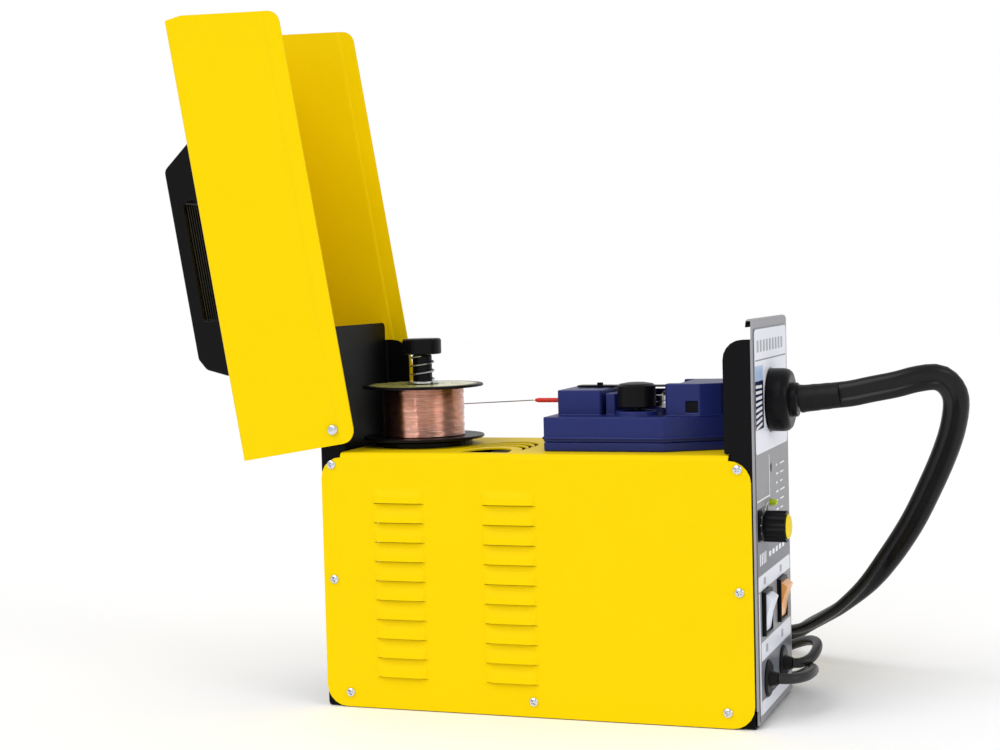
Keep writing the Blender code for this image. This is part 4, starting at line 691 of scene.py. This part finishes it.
SCREW_SPOTS = ((-166.0, 196.0), (-166.0, 103.4), (-154.5, 12.0), (1.0, 12.4), (165.0, 195.5), (165.0, 103.4),
               (154.6, 12.4))
CASE_FACE = 71.0
CASE_HEAD, HINGE_HEAD = (3.7, 1.9), (3.4, 0.7)     # radius and height
HINGE_SINK = 0.25
SPIN_STEP, HINGE_SPIN = 13.0, 20.0
HEAD_SHARP = 40


def make_screws():
    """Seven case screws and one hinge screw face on each side, each turned a little from the last."""
    case_head = screw_head(*CASE_HEAD)
    lid_head = screw_head(*HINGE_HEAD)
    spots = [("case_screw", case_head, CASE_FACE, "case", x, z, SPIN_STEP * k)
             for k, (x, z) in enumerate(SCREW_SPOTS)]
    low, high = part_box("hinge_screw_near")
    spots.append(("hinge_screw_face", lid_head, -low.y / MM - HINGE_SINK, "lid", (low.x + high.x) / 2 / MM,
                  (low.z + high.z) / 2 / MM, HINGE_SPIN))
    for number, (name, head, face, body, x, z, spin) in enumerate(spots):
        for side, word in ((-1, "near"), (1, "far")):
            mesh = head.copy()
            turn = Matrix.Rotation(math.radians(90 * -side), 4, "X")
            turn = turn @ Matrix.Rotation(math.radians(spin), 4, "Z")
            mesh.transform(Matrix.Translation((x * MM, side * face * MM, z * MM)) @ turn)
            add(f"{name}_{word}_{number + 1}", mesh, "zinc", body, HEAD_SHARP)


make_screws()


# ---------------------------------------------------------------- spool

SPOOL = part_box("spool_reel")
SPOOL_AXIS = ((SPOOL[0].x + SPOOL[1].x) / 2 / MM, (SPOOL[0].y + SPOOL[1].y) / 2 / MM)
SPOOL_TOP = SPOOL[1].z / MM
LABEL_R, LABEL_HOLE = 44.6, 14.0
LABEL_GAP, LABEL_THICK = 0.02, 0.12
INK_GAP, INK_THICK = 0.15, 0.04
INK_RINGS = ((44.0, 96), (43.0, 96), (17.5, 48), (16.8, 48))     # radius and number of points
INK_BARS, BAR_FROM, BAR_WIDTH = 12, 24.0, 0.8


def spool_label():
    """The paper label on the reel, with two printed rings and spokes in place of words."""
    x, y = SPOOL_AXIS
    paper = [ring_points((x, y), LABEL_R, 96), ring_points((x, y), LABEL_HOLE, 48)]
    plates("spool_label", paper, SPOOL_TOP + LABEL_GAP, LABEL_THICK, LEVEL, "label", "spool")
    lines = [ring_points((x, y), radius, count) for radius, count in INK_RINGS]
    for k in range(INK_BARS):
        a = math.radians(30 * k + 8)
        ends = [(x + r * math.cos(a), y + r * math.sin(a)) for r in (BAR_FROM, 36.0 - 5 * (k % 3))]
        lines.append(band(ends, BAR_WIDTH))
    plates("spool_label_ink", lines, SPOOL_TOP + INK_GAP, INK_THICK, LEVEL, "label_ink", "spool")


TURNS_UP, ROWS_PER_TURN, WIRE_SIDES = 40, 6, 120
WINDING_INSET, WIRE_HUMP = 0.95, 0.5
WANDER = (0.22, 0.18)
WIRE_SHARP = 60


def wound_wire():
    """Turns of wire one above another, whose radius wanders a little from turn to turn."""
    low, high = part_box("wire_winding")
    x, y = (low.x + high.x) / 2 / MM, (low.y + high.y) / 2 / MM
    radius = (high.x - low.x) / 2 / MM
    z0, z1 = low.z / MM, high.z / MM
    around, rows = WIRE_SIDES, TURNS_UP * ROWS_PER_TURN
    verts, faces = [], []
    for j in range(rows + 1):
        for k in range(around):
            a = 2 * math.pi * k / around
            turn = j / ROWS_PER_TURN + k / around
            hump = abs(math.sin(math.pi * turn))
            whole = math.floor(turn)
            wander = WANDER[0] * math.sin(whole * 2.4 + 1.7 * math.sin(a + whole))
            wander += WANDER[1] * math.sin(3 * a + whole * 0.9)
            r = radius - WINDING_INSET + WIRE_HUMP * hump + wander
            verts.append(((x + r * math.cos(a)) * MM, (y + r * math.sin(a)) * MM,
                          (z0 + (z1 - z0) * j / rows) * MM))
    for j in range(rows):
        for k in range(around):
            n = (k + 1) % around
            faces.append((j * around + k, j * around + n, (j + 1) * around + n, (j + 1) * around + k))
    faces.append(tuple(range(around))[::-1])
    faces.append(tuple(range(rows * around, (rows + 1) * around)))
    mesh = mesh_of("wound_wire", verts, faces)
    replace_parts(add("wound_wire", mesh, "copper", "spool", WIRE_SHARP), "wire_winding")


spool_label()
wound_wire()


# ---------------------------------------------------------------- feeder and lid details

FEEDER_BEAD = (
    (6.9, 40.0), (6.9, -48.5), (7.7, -50.3), (9.5, -51.1), (102.9, -51.1), (105.0, -50.5), (145.7, -27.0),
    (146.9, -25.6), (147.1, -24.0), (147.1, 40.0),
)
BEAD_Z, BEAD_R, BEAD_SIDES = 216.4, 1.25, 10
# The feeder window's outline, and how deep the painted shade plate sits behind it.
WINDOW, WINDOW_DEPTH = (118.5, 235.6, 127.2, 243.6), 16.0
PIVOT, LID_OPEN = (-163.2, 0.0, 224.0), 99.4
# The grip's inner face above the hinge, and the ribs' ends ahead of it, with the lid shut.
GRIP_INNER, GRIP_ENDS = 128.2, (112.0, 211.4)
RIBS, FIRST_RIB, RIB_STEP, RIB_HALF = 6, -10.0, 4.0, 0.7
RIB_SINK, RIB_THICK = 0.9, 0.85
SPRING_WIRE, SPRING_TURNS, SPRING_STEPS, SPRING_SIDES = 0.55, 5.5, 132, 8


def feeder_bead():
    """A fine raised line round the feeder's cover just above its seam."""
    points = [(x, y, BEAD_Z) for x, y in FEEDER_BEAD]
    circle = round_section(BEAD_R, BEAD_SIDES)
    mesh = swept("feeder_bead", points, circle, lambda i, p, t: (0.0, 0.0, 1.0))
    add("feeder_bead", mesh, "blue_plastic", "case", SHARP_ANGLE)


def window_painted_shade():
    """A black plate deep in the small window in the feeder's outlet block: painted shade for the window's
    dark inside.
    """
    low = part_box("feeder_cover")[0]
    # The plate takes the black print finish as painted shade.
    plates("feeder_window_painted_shade", [rect(*WINDOW)], -(low.y / MM + WINDOW_DEPTH), 0.1, FRONTAL, "print_black",
           "case")


def grip_ribs():
    """Fine ribs along the grip's inner face."""
    turn = Matrix.Translation(Vector(PIVOT) * MM) @ Matrix.Rotation(math.radians(-LID_OPEN), 4, "Y")
    for k in range(RIBS):
        y = FIRST_RIB + RIB_STEP * k
        outline = rect(GRIP_ENDS[0], y - RIB_HALF, GRIP_ENDS[1], y + RIB_HALF)
        plates(f"grip_rib_{k + 1}", [outline], GRIP_INNER - RIB_SINK, RIB_THICK, turn, "black_plastic", "lid")


def pressure_spring():
    """The coil spring behind the pressure arm, made as one fixed coil; the real one shortens as the arm
    swings open.
    """
    low, high = (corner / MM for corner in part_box("pressure_spring"))
    x, z, wire = (low.x + high.x) / 2, (low.z + high.z) / 2, SPRING_WIRE
    reach = (high.x - low.x) / 2 - wire
    points = []
    for k in range(SPRING_STEPS + 1):
        share = k / SPRING_STEPS
        a = 2 * math.pi * SPRING_TURNS * share
        points.append((x + reach * math.cos(a), low.y + wire + (high.y - low.y - 2 * wire) * share,
                       z + reach * math.sin(a)))
    circle = round_section(wire, SPRING_SIDES)
    mesh = swept("arm_spring_coil", points, circle, lambda i, p, t: (0.0, 1.0, 0.0))
    spring = add("arm_spring_coil", mesh, "steel", "case", SHARP_ANGLE)
    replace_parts(spring, "pressure_spring")
    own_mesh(spring)


feeder_bead()
window_painted_shade()
grip_ribs()
pressure_spring()


# ---------------------------------------------------------------- floor and light

FLOOR_CORNERS = [(-6, -4, 0), (6, -4, 0), (6, 8, 0), (-6, 8, 0)]
FLOOR_DROP = 0.0002
BACKGROUND, SURROUND = 1.0, 0.74     # how bright the world looks, and how much light it gives
WHITE = (1.0, 1.0, 1.0, 1.0)


def make_floor():
    """A plain pale floor just under the machine."""
    mesh = bpy.data.meshes.new("floor")
    mesh.from_pydata(FLOOR_CORNERS, [], [(0, 1, 2, 3)])
    floor = bpy.data.objects.new("floor", mesh)
    bpy.context.scene.collection.objects.link(floor)
    floor.location.z = -FLOOR_DROP
    mesh.materials.append(surface("floor", (1.0, 1.0, 1.0), 0.7, mottle=0.005, grain=0.01, specular=0.1))


def make_world():
    """A white world that looks brighter than the light it gives."""
    world = bpy.data.worlds.new("world")
    bpy.context.scene.world = world
    world.use_nodes = True
    nodes, links = world.node_tree.nodes, world.node_tree.links
    seen = nodes["Background"]
    soft = nodes.new("ShaderNodeBackground")
    for shader, strength in ((seen, BACKGROUND), (soft, SURROUND)):
        shader.inputs["Color"].default_value = WHITE
        shader.inputs["Strength"].default_value = strength
    ray = nodes.new("ShaderNodeLightPath")
    pick = nodes.new("ShaderNodeMixShader")
    links.new(ray.outputs["Is Camera Ray"], pick.inputs[0])
    links.new(soft.outputs[0], pick.inputs[1])
    links.new(seen.outputs[0], pick.inputs[2])
    links.new(pick.outputs[0], nodes["World Output"].inputs["Surface"])


def make_sun(name, towards, power, spread):
    """A sun seen in a direction, as wide as a spread in degrees."""
    data = bpy.data.lights.new(name, "SUN")
    data.energy, data.angle = power, math.radians(spread)
    light = bpy.data.objects.new(name, data)
    bpy.context.scene.collection.objects.link(light)
    light.rotation_euler = Vector(towards).to_track_quat("Z", "Y").to_euler()


def make_light(name, place, aim, size, power):
    """A rectangular light that shines from a place towards a point."""
    data = bpy.data.lights.new(name, "AREA")
    data.shape, data.size, data.size_y = "RECTANGLE", size[0], size[1]
    data.energy = power
    light = bpy.data.objects.new(name, data)
    bpy.context.scene.collection.objects.link(light)
    light.location = place
    light.rotation_euler = (Vector(aim) - Vector(place)).to_track_quat("-Z", "Y").to_euler()


make_floor()
make_world()
make_sun("key", (-0.35, -0.55, 0.75), 1.0, 40.0)
make_sun("side", (0.85, -0.35, 0.4), 0.45, 30.0)
make_light("streak", (-0.15, -1.5, 0.9), (-0.1, 0, 0.2), (0.12, 0.6), 1.6)
bpy.context.scene.view_settings.view_transform = "Standard"
